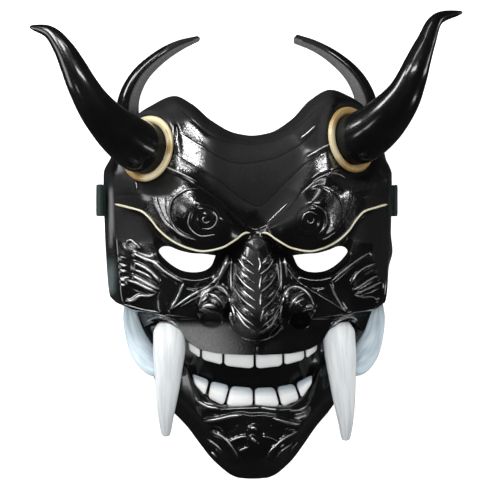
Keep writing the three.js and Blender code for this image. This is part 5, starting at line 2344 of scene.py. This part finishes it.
@dataclass
class TeethRows:
    """The two rows of teeth. Each tooth is a rounded block, and a row is one piece."""

    place: Placement
    depth: float = 6.0
    bulge: float = 1.4
    sink: float = 1.2
    rounding: float = 0.42
    shade_fade: Pair = (4.2, 1.4)
    front: Profile = Profile((0, 86), (20, 84.6), (34, 80.2), (42, 75))
    upper: tuple[Tooth, ...] = (
        Tooth(((-41.8, -61), (-34.6, -64.4), (-34.8, -73), (-41.2, -68.2))),
        Tooth(((-33.4, -65), (-20.8, -67.2), (-20.8, -77.4), (-33.2, -74))),
        Tooth(((-19.4, -67.6), (-1, -68.8), (-1, -79.8), (-19.4, -77.9))),
        Tooth(((0.5, -68.8), (17.2, -67.8), (17.4, -78), (0.6, -79.8))),
        Tooth(((18.6, -67.4), (31.4, -65.2), (31.6, -74), (18.8, -77.6))),
        Tooth(((32.7, -64.8), (40.4, -61.4), (40.2, -68.4), (33, -73.4))),
    )
    lower: tuple[Tooth, ...] = (
        Tooth(((-39.3, -83.2), (-29, -87), (-31.6, -97), (-37.8, -90))),
        Tooth(((-27.6, -87.6), (-16.4, -90.4), (-20, -103.2), (-29.6, -98.4))),
        Tooth(((-15.2, -90.8), (-1.6, -91.9), (-1.6, -103.6), (-18.4, -103.6))),
        Tooth(((-0.2, -92), (12.4, -91.6), (15.6, -103.8), (0, -103.6))),
        Tooth(((13.8, -91.4), (24.9, -89.4), (28.4, -99.6), (17.4, -104))),
        Tooth(((26.2, -89), (37, -84), (36.6, -89.6), (30, -98.8))),
    )

    def tooth(self, shape: Tooth, name: str) -> bpy.types.Object:
        """Make one tooth.

        Args:
            shape: the corners of its front.
            name: its name until its row is joined.

        Returns:
            The tooth, with the share of grey shade at its top stored at each vertex.
        """
        piece = added(bpy.ops.mesh.primitive_cube_add, size=2)
        piece.name = name
        edit(
            piece,
            lambda: bpy.ops.mesh.bevel(offset=self.rounding, segments=5, affect="EDGES"),
            lambda: bpy.ops.mesh.subdivide(number_cuts=1),
        )
        u, v, w = (corners(piece) * 0.5 + 0.5).T
        (x0, y0), (x1, y1), (x2, y2), (x3, y3) = shape.corners
        x = (x0 * (1 - u) + x1 * u) * v + (x3 * (1 - u) + x2 * u) * (1 - v)
        y = (y0 * (1 - u) + y1 * u) * v + (y3 * (1 - u) + y2 * u) * (1 - v)
        swell = self.bulge * (1 - (2 * u - 1) ** 2) * (1 - (2 * v - 1) ** 2)
        z = self.front(np.abs(x)) - self.depth * (1 - w) + swell * w - self.sink
        move_corners(piece, self.place.metres(np.column_stack([x, y, z])))
        return piece

    def row(self, name: str, teeth: tuple[Tooth, ...], shaded_top: float) -> bpy.types.Object:
        """Make a row of teeth as one piece.

        Args:
            name: the row's name.
            teeth: its teeth.
            shaded_top: how grey their upper ends are, 0 to 1.

        Returns:
            The row, not yet painted.
        """
        made = [self.tooth(tooth, f"{name}_{i}") for i, tooth in enumerate(teeth)]
        for piece, tooth in zip(made, teeth):
            at = self.place.face(corners(piece))
            (x0, y0), (x1, y1) = tooth.corners[0], tooth.corners[1]
            top = y0 + (y1 - y0) * (at[:, 0] - x0) / (x1 - x0)
            store_marks(piece, {"shade": shaded_top * rise(*self.shade_fade, top - at[:, 1])})
        return joined(name, *made)

    def build(self) -> list[bpy.types.Object]:
        """Make both rows.

        Returns:
            The finished pieces.
        """
        white = (0.96, 0.97, 0.97, 1)
        paint = PaintedTooth("tooth_paint", white=white, streak=0.25, rough=0.28, uv_streaks=False)
        material = paint.material()
        rows = {"upper_teeth": (self.upper, 0.25), "lower_teeth": (self.lower, 1.0)}
        return [
            finish_piece(self.row(node, teeth, shaded_top), material, node)
            for node, (teeth, shaded_top) in rows.items()
        ]


@dataclass
class HeadStrap:
    """The elastic band that runs behind the face, through both slots and up the outside of the flaps."""

    place: Placement
    width: float = 20.5
    thick: float = 1.6
    steps: int = 160
    squareness: float = 7.0
    run: tuple[Pair, ...] = ((0, 0.3), (45, 0.3), (66, 0.8), (77, 3.6), (85, 5.8), (91, 6.6))
    ends: dict[Side, tuple[Pair, ...]] = field(
        default_factory=lambda: {
            Side.LEFT: ((96.2, 8.2), (98.4, 12.5), (98.6, 19), (96.4, 27)),
            Side.RIGHT: ((96.6, 8.2), (98.2, 12.5), (97.8, 19), (96.4, 27)),
        }
    )
    level = 27.8  # middle of the strap up the face

    def build(self) -> bpy.types.Object:
        """Make the strap.

        Returns:
            The finished piece.
        """
        left = [(-x, z) for x, z in (*self.run, *self.ends[Side.LEFT])][:0:-1]
        points = [*left, *self.run, *self.ends[Side.RIGHT]]
        flat = spline(points, np.linspace(0, 1, self.steps + 1))
        along = np.gradient(flat, axis=0)
        along /= np.linalg.norm(along, axis=1)[:, None]
        normal = np.column_stack([-along[:, 1], along[:, 0]])
        middle = flat + normal * self.thick / 2
        path = np.column_stack([middle[:, 0], np.full(len(middle), self.level), middle[:, 1]])
        across = np.tile([0.0, self.width / 2, 0.0], (len(path), 1))
        deep = np.column_stack([normal[:, 0], np.zeros(len(path)), normal[:, 1]]) * self.thick / 2
        piece = sweep("head_strap", path, across, deep, ring_section(24, self.squareness), self.place)
        return finish_piece(piece, WovenElastic().material(), "head_strap")


# The studio


@dataclass(frozen=True)
class Softbox:
    """A soft light that aims at the mask, placed by its direction from it.

    Turn is in degrees from straight in front, positive to the right, and height in degrees to the forehead.
    Glow is how bright its face looks, in watts for each square metre and steradian. A light that isn't
    mirrored shows in no gloss.
    """

    name: str
    turn: float
    height: float
    away: float
    size: Pair
    glow: float
    mirrored: bool = True

    def build(self, target: Vector) -> None:
        """Add the light.

        Args:
            target: the place in the frame that it aims at.
        """
        turn, height = math.radians(self.turn), math.radians(self.height)
        level = math.cos(height)
        direction = Vector((math.sin(turn) * level, math.sin(height), math.cos(turn) * level))
        light = bpy.data.lights.new(self.name, "AREA")
        light.shape = "RECTANGLE"
        light.size, light.size_y = self.size
        light.energy = self.glow * self.size[0] * self.size[1] * math.pi
        lamp = bpy.data.objects.new(self.name, light)
        lamp.location = target + direction * self.away
        lamp.rotation_euler = direction.to_track_quat("Z", "Y").to_euler()
        lamp.visible_glossy = self.mirrored
        bpy.context.scene.collection.objects.link(lamp)


@dataclass
class Studio:
    """The camera at the photograph's viewing angle, the pale floor and the soft lights."""

    place: Placement
    turn: float = 4.0
    away: float = 2500.0
    aim: Place = (2.56, -4.48, 60.0)
    pixel: float = 0.64
    frame: int = 500
    sensor: float = 36.0
    floor_size: float = 6.0
    floor_shades: Pair = (0.88, 0.94)
    floor_glow: float = 0.95
    room_glow: float = 0.02
    lit_height: float = 0.06
    lights: tuple[Softbox, ...] = (
        Softbox("window_left", -94, 4, 1.2, (0.5, 0.44), 3),
        Softbox("key_left", -76, 40, 1.4, (0.5, 0.3), 13),
        Softbox("upper_left", -48, 52, 1.5, (0.46, 0.24), 13),
        Softbox("low_left", -54, -2, 1.3, (0.2, 0.12), 5),
        Softbox("top", -20, 70, 1.5, (0.5, 0.1), 7),
        Softbox("upper", 6, 44, 1.6, (0.7, 0.24), 12),
        Softbox("side_right", 95, 10, 1.2, (0.16, 0.5), 4),
        Softbox("low_right", 70, -16, 1.3, (0.12, 0.35), 5),
        Softbox("fill", -6, -4, 2.6, (1.2, 1.0), 12.5, mirrored=False),
    )

    def camera(self) -> None:
        """Add the camera, square to the face but for a few degrees to its left."""
        turn = math.radians(self.turn)
        toward = np.array([-math.sin(turn), 0, math.cos(turn)])
        right = np.array([math.cos(turn), 0, math.sin(turn)])
        at = right * self.aim[0] + np.array([0, self.aim[1], 0]) + toward * (self.aim[2] + self.away)
        data = bpy.data.cameras.new("camera")
        data.sensor_width = self.sensor
        data.lens = self.sensor * self.away / (self.pixel * self.frame)
        camera = bpy.data.objects.new("camera", data)
        camera.location = Vector(self.place.metres(at))
        camera.rotation_euler = (0, -turn, 0)
        bpy.context.scene.collection.objects.link(camera)
        bpy.context.scene.camera = camera

    def floor(self) -> None:
        """Add the pale floor."""
        floor = added(bpy.ops.mesh.primitive_plane_add, size=self.floor_size, location=(0, 0, 0))
        floor.name = "floor"
        material, nodes, shader = start_material("pale_floor")
        colour = nodes.blend(nodes.noise(nodes.place(), 3.0), *(grey(level) for level in self.floor_shades))
        glow = {"Emission Color": grey(1), "Emission Strength": self.floor_glow}
        nodes.feed(shader, {"Base Color": colour, "Roughness": 0.9, **glow})
        floor.data.materials.append(material)
        floor.visible_glossy = False

    def light(self) -> None:
        """Add the soft lights and the room's own light."""
        target = self.place.offset + Vector((0, 0, self.lit_height))
        for softbox in self.lights:
            softbox.build(target)
        world = bpy.data.worlds.new("studio")
        world.use_nodes = True
        background = world.node_tree.nodes["Background"]
        Nodes(world.node_tree).feed(background, {"Color": grey(1), "Strength": self.room_glow})
        bpy.context.scene.world = world
        bpy.context.scene.view_settings.view_transform = "Standard"
        bpy.context.scene.view_settings.look = "None"


def main() -> None:
    """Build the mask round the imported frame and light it."""
    logging.basicConfig(level=logging.INFO, format="%(message)s")
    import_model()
    place = Placement.from_frame()
    studio = Studio(place)
    studio.camera()
    surface = FaceSurface()
    parts = (
        MaskShell(surface, place), CarvedLines(surface, place), GoldLines(surface, place), HornPair(place),
        FangsAndTusks(place), TeethRows(place), HeadStrap(place),
    )
    for part in parts:
        made = part.build()
        for piece in made if isinstance(made, list) else [made]:
            mesh = piece.data
            LOG.info("%s: %d vertices, %d faces", piece.name, len(mesh.vertices), len(mesh.polygons))
    studio.floor()
    studio.light()
    bpy.context.view_layer.update()


if __name__ == "__main__":
    main()
